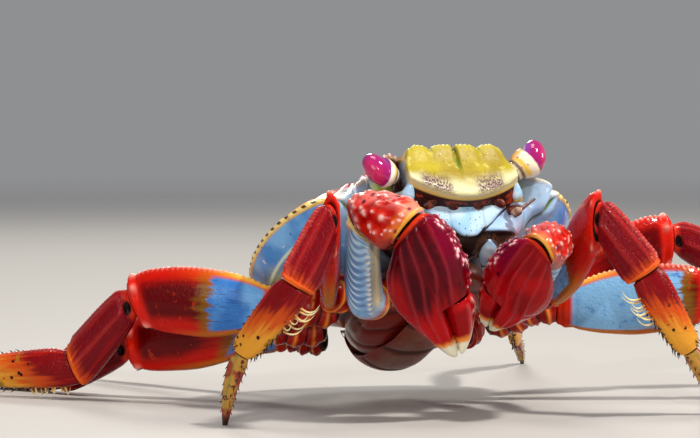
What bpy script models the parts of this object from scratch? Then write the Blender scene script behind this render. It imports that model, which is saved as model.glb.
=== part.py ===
# Shore crab (Grapsus grapsus), life size, standing nose-up on its eight walking feet.
# The crab faces -Y, its left side is +X, the floor is z = 0.
import math

import bmesh
import bpy
from mathutils import Matrix, Vector

# ---- driving dimensions, in millimetres and degrees ----
CARAPACE_HALF_WIDTH = 37.0
CARAPACE_HALF_LENGTH = 33.5
CARAPACE_SQUARENESS = 2.2
FRONT_HALF_ANGLE = 19.5
BODY_PITCH = 32.0
BODY_MIDDLE = (-10.6, -16.1, 36.0)
JOINT_GAP = 0.45
EYE_LENGTH = 8.6
EYE_WIDTH = 5.4

# heading: degrees forward of straight out to the side; lift: degrees above level
LEG_POSE = {
    "leg1_right": ((34, -6), (71, 37), (14, -57), (-56, -46)),
    "leg1_left": ((38, -10), (87, 38), (36, -49), (-10, -55)),
    "leg2_right": ((-20, 0), (-40, 1), (-44, -45), (-42, -5)),
    "leg2_left": ((20, -6), (20, 5), (14, -14), (10, -22)),
    "leg3_right": ((-28, -4), (-42, -8), (-52, -20), (-52, -2)),
    "leg3_left": ((8, 12), (8, 27), (-4, -21), (-8, -45)),
    "leg4_right": ((-50, -2), (-62, 4), (-62, -14), (-62, -14)),
    "leg4_left": ((-50, 8), (-58, 24), (-58, -25), (-58, -40)),
}
# hip: left, forward, up in the body's own frame; then the five lengths and the five broad widths
LEG_SIZE = {
    "leg1": ((18.6, 7.0, -14.6), (10, 30, 16, 21, 16.5), (8.0, 13.0, 9.6, 8.6, 4.6)),
    "leg2": ((20.0, -2.4, -14.4), (13, 36, 22, 26, 16), (8.6, 15.6, 10.4, 9.0, 4.8)),
    "leg3": ((20.0, -12.0, -14.0), (13, 36, 21, 25, 15), (8.6, 15.0, 10.0, 8.4, 4.6)),
    "leg4": ((17.4, -20.6, -13.0), (10, 30, 17, 21, 13), (7.0, 11.6, 8.0, 7.0, 4.0)),
}
CLAW_POSE = {
    "claw_right": ((46, -7), (59, 72.6), (118, -7), (-158, -62)),
    "claw_left": ((90, -7), (65, 46), (131, -2), (-99, -41)),
}
PALM_ROLL = {"claw_right": 35.0, "claw_left": -40.0}
CLAW_HIP = (14.0, 12.0, -18.0)
CLAW_LENGTHS = {"claw_right": (9.5, 19.6, 13.7, 32.0), "claw_left": (9.5, 17.0, 12.8, 27.5)}
CLAW_GIRTH = {"claw_right": 1.0, "claw_left": 0.86}

SHELL_RED = (0.62, 0.035, 0.015)
DEEP_RED = (0.27, 0.008, 0.02)
ORANGE_RED = (0.75, 0.14, 0.02)
PALE_BLUE = (0.28, 0.5, 0.75)
CREAM = (0.8, 0.72, 0.5)
EYE_MAGENTA = (0.5, 0.01, 0.16)


def clear_scene():
    for item in list(bpy.data.objects):
        bpy.data.objects.remove(item, do_unlink=True)


def parts_collection():
    collection = bpy.data.collections.new("shore_crab")
    bpy.context.scene.collection.children.link(collection)
    return collection


def material(name, colour, roughness=0.25):
    made = bpy.data.materials.new(name)
    made.use_nodes = True
    shader = made.node_tree.nodes["Principled BSDF"]
    shader.inputs["Base Color"].default_value = (*colour, 1.0)
    shader.inputs["Roughness"].default_value = roughness
    made.diffuse_color = (*colour, 1.0)
    return made


def solid_from_rings(collection, name, rings, colour, start_point=None, end_point=None):
    """Skin closed rings of points in order, closing each end with a flat cap or with a fan to one point."""
    mesh = bpy.data.meshes.new(name)
    shape = bmesh.new()
    loops = [[shape.verts.new(Vector(p) * 0.001) for p in ring] for ring in rings]
    count = len(loops[0])
    for lower, upper in zip(loops, loops[1:]):
        for i in range(count):
            j = (i + 1) % count
            shape.faces.new((lower[i], lower[j], upper[j], upper[i]))
    for loop, point in ((loops[0], start_point), (loops[-1], end_point)):
        if point is None:
            shape.faces.new(loop)
            continue
        pole = shape.verts.new(Vector(point) * 0.001)
        for i in range(count):
            shape.faces.new((loop[i], loop[(i + 1) % count], pole))
    bmesh.ops.triangulate(shape, faces=shape.faces[:])
    bmesh.ops.recalc_face_normals(shape, faces=shape.faces[:])
    for face in shape.faces:
        face.smooth = True
    shape.to_mesh(mesh)
    shape.free()
    made = bpy.data.objects.new(name, mesh)
    made.data.materials.append(material(name + "_shell", colour))
    collection.objects.link(made)
    return made


def smooth_step(value, low, high):
    share = min(1.0, max(0.0, (value - low) / (high - low)))
    return share * share * (3 - 2 * share)


def body_to_row(point):
    """Left, forward, up in the body's frame to the shared frame."""
    pitch = math.radians(BODY_PITCH)
    left, forward, up = point
    ahead = forward * math.cos(pitch) - up * math.sin(pitch)
    raised = forward * math.sin(pitch) + up * math.cos(pitch)
    return Vector((left, -ahead, raised)) + Vector(BODY_MIDDLE)


def place_in_body(made):
    """Turn an object drawn in the body's frame (x left, -y forward, z up) nose-up and lift it."""
    made.rotation_euler = (-math.radians(BODY_PITCH), 0.0, 0.0)
    made.location = Vector(BODY_MIDDLE) * 0.001
    return made


# ---------------- carapace ----------------
# each row: share of the outline's radius or distance forward, and height
SIDE_PROFILE = ((0.3, 8.8), (0.55, 7.8), (0.76, 5.8), (0.91, 3.0), (1.0, 0.3), (0.985, -1.2),
                (0.93, -3.8), (0.84, -6.6), (0.72, -8.8), (0.58, -9.3), (0.3, -9.4))
ORBIT_PROFILE = ((0.3, 8.9), (0.55, 8.4), (0.74, 7.3), (0.85, 6.0), (0.9, 4.8), (0.86, 3.4),
                 (0.76, 0.2), (0.92, -3.6), (0.84, -10.0), (0.64, -11.4), (0.3, -9.4))
# forward distance and height of the steep front face and of the mouth frame under it
FRONT_PROFILE = ((10.0, 8.9), (18.5, 8.5), (25.0, 8.0), (30.0, 7.2), (34.3, 5.8), (35.4, 1.8),
                 (37.2, -5.4), (36.0, -7.4), (32.2, -9.6), (31.0, -14.6), (11.0, -9.4))


def outline_radius(angle):
    """Distance from the middle to the shell's edge; the angle runs from straight ahead to straight back."""
    across = abs(math.sin(angle)) / CARAPACE_HALF_WIDTH
    along = abs(math.cos(angle)) / CARAPACE_HALF_LENGTH
    power = CARAPACE_SQUARENESS
    radius = (across ** power + along ** power) ** (-1.0 / power)
    degrees = abs(math.degrees(angle))
    tooth = 2.9 * math.exp(-(((degrees - 37.5) / 2.6) ** 2))
    second = 1.3 * math.exp(-(((degrees - 45.5) / 2.2) ** 2))
    return radius + tooth + second


def front_point(across, row):
    """Forward distance and height on the front face; 'across' is 0 on the midline and 1 at its corner."""
    forward, height = FRONT_PROFILE[row]
    belly = 1.0 - min(1.0, across) ** 2
    if row == 4:
        height += 0.9 * abs(math.sin(across * math.pi))
    if row in (6, 7):
        height -= 2.0 * belly
        forward += 0.6 * belly
    return forward, height


def profile_point(angle, row):
    """One point of the shell's section standing on a ray from the middle, forward positive."""
    degrees = abs(math.degrees(angle))
    radius = outline_radius(angle)
    side = Vector((SIDE_PROFILE[row][0] * radius, SIDE_PROFILE[row][1]))
    orbit = Vector((ORBIT_PROFILE[row][0] * radius, ORBIT_PROFILE[row][1]))
    to_side = smooth_step(degrees, 32.0, 39.0)
    mixed = orbit.lerp(side, to_side)
    if degrees < 26.0:
        forward, height = front_point(degrees / FRONT_HALF_ANGLE, row)
        front = Vector((forward / math.cos(angle), height))
        mixed = front.lerp(mixed, smooth_step(degrees, FRONT_HALF_ANGLE, 24.0))
    if row in (3, 4, 5, 6):
        mixed.y -= 1.7 * math.exp(-(((degrees - 41.0) / 8.0) ** 2))
    rear = smooth_step(degrees, 120.0, 165.0)
    if row >= 5:
        mixed.x += rear * (0.985 * radius - mixed.x) * 0.45
        mixed.y += rear * 2.2
    return Vector((mixed.x * math.sin(angle), -mixed.x * math.cos(angle), mixed.y))


def carapace_angles():
    fine = [0, 3.2, 6.5, 9.8, 13.2, 16.4, 19.5, 22, 25, 29, 33, 35.5, 37.5, 39.8, 42.5, 45.5, 49]
    coarse = [56, 65, 75, 86, 97, 108, 119, 130, 141, 152, 163, 172]
    half = fine + coarse
    return [math.radians(a) for a in half + [180] + [-a for a in reversed(half[1:])]]


def build_carapace(collection):
    angles = carapace_angles()
    rings = [[profile_point(a, row) for a in angles] for row in range(len(SIDE_PROFILE))]
    made = solid_from_rings(collection, "carapace", rings, PALE_BLUE, (0, 0, 9.3), (0, 0, -9.4))
    return place_in_body(made)


def shield_ring(half_width, front, back, height, count=18):
    """Egg-shaped level ring: wide at the middle of the body, narrower ahead and behind."""
    ring = []
    for i in range(count):
        turn = 2 * math.pi * i / count
        reach = front if math.cos(turn) > 0 else -back
        side = half_width * math.sin(turn) * (1 - 0.12 * max(0.0, math.cos(turn)))
        ring.append((side, -reach * math.cos(turn), height))
    return ring


def build_sternum(collection):
    rings = [
        shield_ring(13.6, 12.0, -27.0, -9.8),
        shield_ring(14.0, 16.0, -27.8, -12.0),
        shield_ring(13.6, 19.0, -24.6, -15.6),
        shield_ring(12.6, 18.6, -20.0, -17.6),
        shield_ring(8.0, 14.0, -16.0, -18.6),
    ]
    return place_in_body(solid_from_rings(collection, "sternum", rings, PALE_BLUE))


# ---------------- parts carried along a path ----------------
def section(half_up, half_down, half_side, count=10, power=2.3):
    """Rounded section as (side, up) pairs; the upper and lower halves may differ."""
    pairs = []
    for i in range(count):
        turn = 2 * math.pi * (i + 0.5) / count
        across = math.copysign(abs(math.sin(turn)) ** (2 / power), math.sin(turn))
        upward = math.copysign(abs(math.cos(turn)) ** (2 / power), math.cos(turn))
        pairs.append((half_side * across, (half_up if upward > 0 else half_down) * upward))
    return pairs


def frame_for(direction, roll=0.0):
    """Axes of a limb piece: x along it, z its upper (broad) edge, y its flat side."""
    ahead = Vector(direction).normalized()
    upper = Vector((0, 0, 1)) - ahead * ahead.z
    if upper.length < 0.05:
        upper = Vector((0, -1, 0)) - ahead * -ahead.y
    upper.normalize()
    upper = Matrix.Rotation(math.radians(roll), 3, ahead) @ upper
    side = upper.cross(ahead)
    return Matrix((ahead, side, upper)).transposed()


def along_piece(table, length, start_plane, end_plane, count=10, bow=0.0, reach=1.0):
    """Rings of one limb piece in its own frame, spread between the two planes its ends are cut along."""
    rings = []
    for row in table:
        share, up, down, side = row[:4]
        drop = row[4] if len(row) > 4 else 0.0
        arch = bow * math.sin(math.pi * share)
        ring = []
        for across, upward in section(up, down, side, count):
            offset = Vector((0.0, across, upward + drop + arch))
            low = -offset.dot(start_plane) / start_plane.x
            high = -offset.dot(end_plane) / end_plane.x
            slide = low * (1.0 - share) ** reach + high * share ** reach
            ring.append(offset + Vector((length * share + slide, 0.0, 0.0)))
        rings.append(ring)
    return rings


def direction_of(heading, lift, side):
    turn, rise = math.radians(heading), math.radians(lift)
    return Vector((side * math.cos(turn) * math.cos(rise),
                   -math.sin(turn) * math.cos(rise), math.sin(rise)))


def chain_points(start, lengths, pose, side):
    points = [start]
    for length, (heading, lift) in zip(lengths, pose):
        points.append(points[-1] + direction_of(heading, lift, side) * length)
    return points


def limb_piece(collection, name, start, end, before, after, table, colour, roll=0.0, count=10, reach=1.0):
    """One piece between two joints; 'before' and 'after' are the directions of its neighbours."""
    along = (end - start).normalized()
    frame = frame_for(along, roll)
    plane_in = (before.normalized() + along).normalized() if before is not None else along
    plane_out = (after.normalized() + along).normalized() if after is not None else along
    to_local = frame.transposed()
    first = start + along * (JOINT_GAP / 2 / max(0.35, plane_in.dot(along)))
    last = end - along * (JOINT_GAP / 2 / max(0.35, plane_out.dot(along))) if after is not None else end
    length = (last - first).length
    rings = along_piece(table, length, to_local @ plane_in, to_local @ plane_out, count, 0.0, reach)
    made = solid_from_rings(collection, name, rings, colour)
    made.rotation_euler = frame.to_euler()
    made.location = first * 0.001
    return made


# share of the length, then upper, lower and side half sizes as shares of the piece's half width
COXA_TABLE = ((0.0, 0.72, 0.72, 0.66), (0.3, 0.98, 0.95, 0.8), (0.7, 0.86, 0.84, 0.68), (1.0, 0.66, 0.62, 0.5))
MERUS_TABLE = ((0.0, 0.46, 0.4, 0.2), (0.1, 0.68, 0.56, 0.28), (0.32, 0.98, 0.8, 0.36), (0.56, 1.08, 0.92, 0.38),
               (0.8, 0.98, 0.86, 0.36), (0.93, 0.78, 0.76, 0.32), (1.0, 0.58, 0.62, 0.28))
CARPUS_TABLE = ((0.0, 0.62, 0.5, 0.36), (0.16, 0.92, 0.72, 0.5), (0.5, 1.0, 0.9, 0.56), (0.86, 1.0, 0.98, 0.54),
                (1.0, 0.84, 0.84, 0.46))
PROPODUS_TABLE = ((0.0, 0.9, 0.86, 0.48), (0.2, 1.0, 1.0, 0.54), (0.6, 0.88, 0.9, 0.5), (0.9, 0.74, 0.74, 0.46),
                  (1.0, 0.58, 0.56, 0.4))
DACTYL_TABLE = ((0.0, 0.8, 0.76, 0.6), (0.15, 0.98, 0.9, 0.72), (0.5, 0.76, 0.74, 0.58), (0.82, 0.46, 0.46, 0.38),
                (1.0, 0.26, 0.22, 0.24))
PIECE_TABLES = (COXA_TABLE, MERUS_TABLE, CARPUS_TABLE, PROPODUS_TABLE, DACTYL_TABLE)
PIECE_NAMES = ("coxa", "merus", "carpus", "propodus", "dactyl")
PIECE_COLOURS = (ORANGE_RED, SHELL_RED, DEEP_RED, SHELL_RED, ORANGE_RED)
PIECE_SIDES = (8, 10, 10, 10, 8)


def sized(table, half_width):
    return [(row[0],) + tuple(value * half_width for value in row[1:]) for row in table]


def foot_pose(knee_height, length, heading):
    """The last piece slopes so that its tip meets the floor."""
    return heading, -math.degrees(math.asin(knee_height / length))


def build_leg(collection, name):
    pair, side_name = name.split("_")
    side = 1.0 if side_name == "left" else -1.0
    hip, lengths, widths = LEG_SIZE[pair]
    start = body_to_row((side * hip[0], hip[1], hip[2]))
    points = chain_points(start, lengths, LEG_POSE[name], side)
    heading, lift = foot_pose(points[-1].z, lengths[4], LEG_POSE[name][3][0])
    points.append(points[-1] + direction_of(heading, lift, side) * lengths[4])
    steps = [b - a for a, b in zip(points, points[1:])]
    for i, piece in enumerate(PIECE_NAMES):
        before = steps[i - 1] if i else None
        after = steps[i + 1] if i < 4 else None
        table = sized(PIECE_TABLES[i], widths[i] / 2)
        full_name = f"{name}_{piece}"
        if i < 4:
            limb_piece(collection, full_name, points[i], points[i + 1], before, after, table,
                       PIECE_COLOURS[i], count=PIECE_SIDES[i])
        else:
            build_foot(collection, full_name, points[4], points[5], before, table)


def build_foot(collection, name, start, end, before, table):
    """The claw-like last joint: its tip is cut level with the floor."""
    along = (end - start).normalized()
    frame = frame_for(along)
    to_local = frame.transposed()
    plane_in = (before.normalized() + along).normalized()
    first = start + along * (JOINT_GAP / 2 / max(0.35, plane_in.dot(along)))
    floor_plane = to_local @ Vector((0.0, 0.0, -1.0))
    length = (end - first).length
    rings = along_piece(table, length, to_local @ plane_in, floor_plane, 8, 0.9)
    made = solid_from_rings(collection, name, rings, ORANGE_RED)
    made.rotation_euler = frame.to_euler()
    made.location = first * 0.001


# ---------------- claws ----------------
# share of the path from hip to wrist, then upper, lower and side half sizes
ARM_TABLE = ((0.0, 3.4, 3.2, 3.4), (0.18, 3.9, 3.7, 3.8), (0.36, 4.4, 4.2, 4.0), (0.55, 5.4, 4.4, 4.0),
             (0.8, 5.4, 4.2, 3.8), (0.95, 4.4, 3.6, 3.4), (1.0, 3.6, 3.2, 3.0))
WRIST_TABLE = ((0.0, 3.6, 3.4, 3.2), (0.25, 5.8, 5.2, 4.8), (0.55, 6.6, 5.8, 5.4), (0.85, 5.6, 4.8, 5.0), (1.0, 4.2, 3.6, 4.2))
PALM_TABLE = ((0.0, 3.8, 3.8, 3.2, 0.0), (0.07, 6.2, 6.2, 4.4, 0.0), (0.2, 8.2, 8.2, 5.4, 0.0), (0.36, 9.0, 9.2, 5.9, 0.0),
              (0.5, 8.0, 8.8, 5.6, 0.0), (0.56, 6.6, 8.2, 5.0, 0.0), (0.585, 3.6, 4.2, 4.2, -3.7),
              (0.74, 3.3, 3.6, 3.6, -3.2), (0.88, 2.6, 2.8, 2.8, -2.3), (0.97, 1.6, 1.9, 1.9, -1.5), (1.0, 0.8, 1.0, 1.0, -1.1))
FINGER_TABLE = ((0.0, 2.6, 2.6, 2.8, 3.5), (0.12, 3.6, 3.1, 3.3, 3.7), (0.4, 3.2, 3.0, 3.1, 3.5), (0.72, 2.4, 2.0, 2.5, 2.6),
                (0.93, 1.4, 1.1, 1.5, 1.5), (1.0, 0.7, 0.6, 0.8, 1.0))


def build_arm(collection, name, points, after):
    """One bent piece from the hip, round the elbow near the body, to the wrist."""
    first, second = points[1] - points[0], points[2] - points[1]
    whole = first.length + second.length
    bend = first.length / whole
    rings = []
    for share, up, down, across_half in sized(ARM_TABLE, 0.5 + CLAW_GIRTH[name] / 2):
        turn = smooth_step(share, bend - 0.25, bend + 0.2)
        along = first.normalized().lerp(second.normalized(), turn).normalized()
        if share <= bend:
            centre = points[0].lerp(points[1], share / bend)
        else:
            centre = points[1].lerp(points[2], (share - bend) / (1 - bend))
        frame = frame_for(along)
        rings.append([centre + frame @ Vector((0.0, across, upward))
                      for across, upward in section(up, down, across_half, 12)])
    cut = (after.normalized() + second.normalized()).normalized()
    ahead = second.normalized()
    for i in (-3, -2, -1):
        room = (-1 - i) * 0.8 + JOINT_GAP
        for p in rings[i]:
            beyond = (p - points[2]).dot(cut) + room
            if beyond > 0 or i == -1:
                p -= ahead * (beyond / ahead.dot(cut))
    return solid_from_rings(collection, name + "_arm", rings, PALE_BLUE)


def build_claw(collection, name):
    side = 1.0 if name.endswith("left") else -1.0
    hip = body_to_row((side * CLAW_HIP[0], CLAW_HIP[1], CLAW_HIP[2]))
    points = chain_points(hip, CLAW_LENGTHS[name], CLAW_POSE[name], side)
    steps = [b - a for a, b in zip(points, points[1:])]
    girth = CLAW_GIRTH[name]
    build_arm(collection, name, points, steps[2])
    limb_piece(collection, name + "_wrist", points[2], points[3], steps[1], steps[3], sized(WRIST_TABLE, girth),
               SHELL_RED, count=14)
    palm = limb_piece(collection, name + "_palm", points[3], points[4], steps[2], None, sized(PALM_TABLE, girth),
                      DEEP_RED, roll=PALM_ROLL[name], count=14, reach=3.0)
    build_finger(collection, name, palm)


def build_finger(collection, name, palm):
    """The movable finger lies along the palm's upper edge, ahead of its shoulder."""
    length = CLAW_LENGTHS[name][3]
    level = Vector((1.0, 0.0, 0.0))
    rings = along_piece(sized(FINGER_TABLE, CLAW_GIRTH[name]), length * 0.385, level, level, 12)
    made = solid_from_rings(collection, name + "_finger", rings, DEEP_RED)
    made.rotation_euler = palm.rotation_euler
    shift = palm.rotation_euler.to_matrix() @ Vector((length * 0.605, 0.0, 0.0))
    made.location = palm.location + shift * 0.001


# ---------------- head ----------------
def in_body(place):
    """Matrix of a piece placed in the body's frame."""
    turn = Matrix.Rotation(-math.radians(BODY_PITCH), 4, "X")
    return Matrix.Translation(Vector(BODY_MIDDLE) * 0.001) @ turn @ place


def build_eye(collection, side_name):
    side = 1.0 if side_name == "left" else -1.0
    middle = Vector((19.4, -33.2, 4.3)) if side > 0 else Vector((-18.4, -33.4, 1.4))
    lean = 12.0 if side > 0 else -32.0
    mesh = bpy.data.meshes.new("eye_" + side_name)
    ball = bmesh.new()
    bmesh.ops.create_uvsphere(ball, u_segments=16, v_segments=9, radius=0.5)
    bmesh.ops.scale(ball, vec=(EYE_WIDTH * 0.001, EYE_WIDTH * 0.001, EYE_LENGTH * 0.001), verts=ball.verts[:])
    ball.to_mesh(mesh)
    ball.free()
    mesh.shade_smooth()
    eye = bpy.data.objects.new("eye_" + side_name, mesh)
    mesh.materials.append(material("eye_" + side_name + "_cornea", EYE_MAGENTA, 0.06))
    collection.objects.link(eye)
    tilt = Matrix.Rotation(math.radians(lean), 4, "Y")
    eye.matrix_world = in_body(Matrix.Translation(middle * 0.001) @ tilt)
    build_stalk(collection, side_name, middle)


def build_stalk(collection, side_name, middle):
    side = 1.0 if side_name == "left" else -1.0
    root = Vector((side * 13.6, -31.4, 0.6))
    along = middle - root
    length = along.length - EYE_WIDTH / 2 - 1.1
    table = ((0.0, 1.6, 1.6, 1.5), (0.3, 2.2, 2.2, 2.0), (0.7, 2.9, 2.6, 2.3), (1.0, 1.6, 1.6, 1.5))
    frame = frame_for(along)
    level = Vector((1.0, 0.0, 0.0))
    rings = along_piece(table, length, level, level, 12)
    made = solid_from_rings(collection, "eyestalk_" + side_name, rings, CREAM)
    made.matrix_world = in_body(Matrix.Translation(root * 0.001) @ frame.to_4x4())


def body_piece(collection, name, points, table, colour, count=8, roll=0.0):
    """A straight piece between two points of the body's own frame."""
    start, end = (body_to_row(p) for p in points)
    return limb_piece(collection, name, start, end, None, None, table, colour, roll=roll, count=count)


def build_mouth_parts(collection, side_name):
    side = 1.0 if side_name == "left" else -1.0
    jaw = ((0.0, 1.4, 1.4, 0.9), (0.3, 2.2, 2.2, 1.1), (0.7, 2.0, 2.0, 1.0), (1.0, 0.9, 0.9, 0.7))
    body_piece(collection, "maxilliped_" + side_name,
               ((side * 6.6, 22.5, -19.4), (side * 4.4, 33.0, -16.6)), jaw, PALE_BLUE)
    feeler = ((0.0, 0.9, 0.9, 0.9), (0.25, 1.0, 1.0, 1.0), (0.4, 0.5, 0.5, 0.5), (1.0, 0.27, 0.27, 0.27))
    body_piece(collection, "antenna_" + side_name,
               ((side * 10.4, 34.4, -11.2), (side * 15.6, 36.8, -8.4)), feeler, ORANGE_RED)


# ---------------- abdomen ----------------
# forward, up, half width of the flap folded under the body, root first
ABDOMEN_PATH = ((-32.0, -4.8, 8.4), (-31.8, -8.6, 8.8), (-30.6, -12.4, 8.6), (-27.6, -16.4, 8.2),
                (-19.6, -19.6, 7.4), (-8.0, -20.2, 6.2), (2.0, -20.2, 4.6), (9.0, -20.0, 2.8), (12.0, -19.9, 1.4))


def build_abdomen(collection):
    rings = []
    for i, (forward, up, half) in enumerate(ABDOMEN_PATH):
        behind = ABDOMEN_PATH[max(0, i - 1)]
        ahead = ABDOMEN_PATH[min(len(ABDOMEN_PATH) - 1, i + 1)]
        slope = Vector((ahead[0] - behind[0], ahead[1] - behind[1])).normalized()
        outward = Vector((slope.y, -slope.x))
        ring = []
        for across, upward in section(0.8, 0.8, half, 10, 2.6):
            ring.append((across, -(forward + outward.x * upward), up + outward.y * upward))
        rings.append(ring)
    return place_in_body(solid_from_rings(collection, "abdomen", rings, CREAM))


def main():
    clear_scene()
    collection = parts_collection()
    build_carapace(collection)
    build_sternum(collection)
    build_abdomen(collection)
    for side_name in ("left", "right"):
        build_eye(collection, side_name)
        build_mouth_parts(collection, side_name)
        build_claw(collection, "claw_" + side_name)
    for name in LEG_POSE:
        build_leg(collection, name)


main()
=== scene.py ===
import math

import bpy
import numpy as np
from mathutils import Matrix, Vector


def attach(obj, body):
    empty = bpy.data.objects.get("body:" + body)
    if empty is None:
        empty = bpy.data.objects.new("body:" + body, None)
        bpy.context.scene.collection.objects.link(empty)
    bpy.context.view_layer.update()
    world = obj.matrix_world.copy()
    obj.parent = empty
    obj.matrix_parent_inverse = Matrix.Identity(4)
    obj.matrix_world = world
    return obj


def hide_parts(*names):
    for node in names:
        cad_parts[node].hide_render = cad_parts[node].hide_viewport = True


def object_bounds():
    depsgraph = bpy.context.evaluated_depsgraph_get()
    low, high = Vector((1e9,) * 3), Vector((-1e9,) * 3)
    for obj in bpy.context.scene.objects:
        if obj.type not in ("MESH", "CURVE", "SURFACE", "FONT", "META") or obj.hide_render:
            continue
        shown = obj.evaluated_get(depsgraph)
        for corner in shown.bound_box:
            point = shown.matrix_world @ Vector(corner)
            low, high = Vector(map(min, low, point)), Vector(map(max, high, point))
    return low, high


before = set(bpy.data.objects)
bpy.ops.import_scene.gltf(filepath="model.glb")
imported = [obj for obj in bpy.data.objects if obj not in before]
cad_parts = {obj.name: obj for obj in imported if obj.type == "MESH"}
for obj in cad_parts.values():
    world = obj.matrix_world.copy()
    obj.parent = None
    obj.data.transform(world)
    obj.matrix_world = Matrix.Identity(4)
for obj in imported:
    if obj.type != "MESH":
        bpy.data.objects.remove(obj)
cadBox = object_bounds()
metre = 0.001   # metres in a millimetre
floorLevel = cadBox[0].z / metre
print("frame loaded:", len(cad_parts), "nodes")

body = {"pitch": 32.0, "middle": (-10.6, -16.1, 36.0), "jointGap": 0.45, "leastSlope": 0.35}
sides = {"left": 1.0, "right": -1.0}


# small sums on whole arrays
def unit(v):
    return v / np.maximum(np.linalg.norm(v, axis=-1, keepdims=True), 1e-9)


# 0 to 1 between low and high, smoothly; 1 to 0 where low is the larger
def ease(value, low, high):
    share = np.clip((value - low) / (high - low), 0.0, 1.0)
    return share * share * (3.0 - 2.0 * share)


# eased up between the first two limits and down between the last two
def window(value, up, full, still, down):
    return ease(value, up, full) * ease(value, down, still)


def bell(value, middle, width):
    return np.exp(-((value - middle) / width) ** 2)


def bells(value, width, *middles):
    return sum(bell(value, middle, width) for middle in middles)


# bells on a circle, in degrees
def near(turn, width, *middles):
    return sum(bell((turn - middle + 180.0) % 360.0 - 180.0, 0.0, width) for middle in middles)


# row of rounded knobs: 1 on each top, 0 between
def knobs(value, count, sharpness=1.5):
    return (0.5 + 0.5 * np.cos(2 * np.pi * value * count)) ** sharpness


# a power that keeps the sign: on a circle's sine and cosine it makes a rounded square
def squared(value, power):
    return np.sign(value) * np.abs(value) ** power


# Smooth curve through rows of values, in cubic pieces. The slope at a row is the mean of its neighbours'
# slopes or, where steady, their harmonic mean, which never overshoots.
def throughRows(keys, values, at, steady=True):
    keys, values = np.asarray(keys, float), np.asarray(values, float)
    extra = (1,) * (values.ndim - 1)
    gap = np.diff(keys).reshape((-1,) + extra)
    secant = np.diff(values, axis=0) / gap
    before, after = secant[:-1], secant[1:]
    inner = (before + after) / 2
    if steady:
        same = before * after > 0
        inner = np.where(same, 2 * before * after / np.where(same, before + after, 1.0), 0.0)
    slope = np.concatenate([secant[:1], inner, secant[-1:]])
    i = np.clip(np.searchsorted(keys, at, side="right") - 1, 0, len(keys) - 2)
    t = ((at - keys[i]) / np.diff(keys)[i]).reshape((-1,) + extra)
    rise, fall = 3 * t ** 2 - 2 * t ** 3, 2 * t ** 3 - 3 * t ** 2 + 1
    return (fall * values[i] + (t ** 3 - 2 * t ** 2 + t) * gap[i] * slope[i]
            + rise * values[i + 1] + (t ** 3 - t ** 2) * gap[i] * slope[i + 1])


# left, forward, up in the pitched body's own frame, to the shared frame
def bodyDirection(points):
    pitch = math.radians(body["pitch"])
    left, forward, up = np.moveaxis(np.asarray(points, float), -1, 0)
    ahead = forward * math.cos(pitch) - up * math.sin(pitch)
    return np.stack([left, -ahead, forward * math.sin(pitch) + up * math.cos(pitch)], -1)


def bodyToRow(points):
    return bodyDirection(points) + np.array(body["middle"])


# from grids to meshes
# outward normals of a grid of closed rings: the cross product of its two slopes
def gridNormals(grid):
    along = np.gradient(grid, axis=0)
    around = np.roll(grid, -1, axis=1) - np.roll(grid, 1, axis=1)
    normal = unit(np.cross(around, along))
    outward = np.sum(normal * (grid - grid.mean(axis=1, keepdims=True)))
    return normal * np.sign(outward)


def putMesh(name, points, faces, fields):
    mesh = bpy.data.meshes.new(name)
    mesh.from_pydata((points * metre).tolist(), [], faces)
    for field, values in fields.items():
        layer = mesh.attributes.new(field, "FLOAT", "POINT")
        layer.data.foreach_set("value", np.asarray(values, np.float32).ravel())
    mesh.shade_smooth()
    made = bpy.data.objects.new(name, mesh)
    bpy.context.scene.collection.objects.link(made)
    return made


# quads between closed rings, and the fans to a pole past each end
def ringFaces(rings, around):
    index = np.arange(rings * around).reshape(rings, around)
    beside = np.roll(index, -1, axis=1)
    quads = np.stack([index[:-1], beside[:-1], beside[1:], index[1:]], -1).reshape(-1, 4)
    first = np.stack([beside[0], index[0], np.full(around, rings * around)], -1)
    last = np.stack([index[-1], beside[-1], np.full(around, rings * around + 1)], -1)
    return quads, np.concatenate([first, last])


# A closed piece from its rings. Where the volume comes out negative, every face is turned round, so all of
# them face out.
def closedSurface(name, grid, fields, poles=None):
    rings, around = grid.shape[:2]
    ends = np.array(poles if poles is not None else [grid[0].mean(0), grid[-1].mean(0)])
    points = np.concatenate([grid.reshape(-1, 3), ends])
    quads, fans = ringFaces(rings, around)
    a, b, c = np.moveaxis(points[np.concatenate([quads[:, :3], quads[:, [0, 2, 3]], fans])], 1, 0)
    if np.sum(a * np.cross(b, c)) < 0:
        quads, fans = quads[:, ::-1], fans[:, ::-1]
    whole = {}
    for field, values in fields.items():
        values = np.broadcast_to(values, (rings, around))
        whole[field] = np.concatenate([values.ravel(), [values[0].mean(), values[-1].mean()]])
    return putMesh(name, points, quads.tolist() + fans.tolist(), whole)


def settle(piece, finish, slotName, *nodes):
    piece.data.materials.append(finish)
    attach(piece, "root")
    if nodes:
        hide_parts(*nodes)


# shader sums
# screen colour, 0 to 255, as the linear values that shaders use
def tint(red, green, blue):
    screen = np.array([red, green, blue]) / 255
    linear = np.where(screen <= 0.04045, screen / 12.92, ((screen + 0.055) / 1.055) ** 2.4)
    return (*linear.tolist(), 1.0)


# one socket; arithmetic on it adds Math nodes
class Wire:
    def __init__(self, finish, socket):
        self.finish, self.socket = finish, socket

    def reckon(self, operation, first, second=0.0):
        return self.finish.node("Math", {"operation": operation}, {0: first, 1: second})

    def __add__(self, other):
        return self.reckon("ADD", self, other)

    def __sub__(self, other):
        return self.reckon("SUBTRACT", self, other)

    def __rsub__(self, other):
        return self.reckon("SUBTRACT", other, self)

    def __mul__(self, other):
        return self.reckon("MULTIPLY", self, other)

    def __truediv__(self, other):
        return self.reckon("DIVIDE", self, other)

    def __abs__(self):
        return self.reckon("ABSOLUTE", self)

    __radd__ = __add__
    __rmul__ = __mul__


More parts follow.
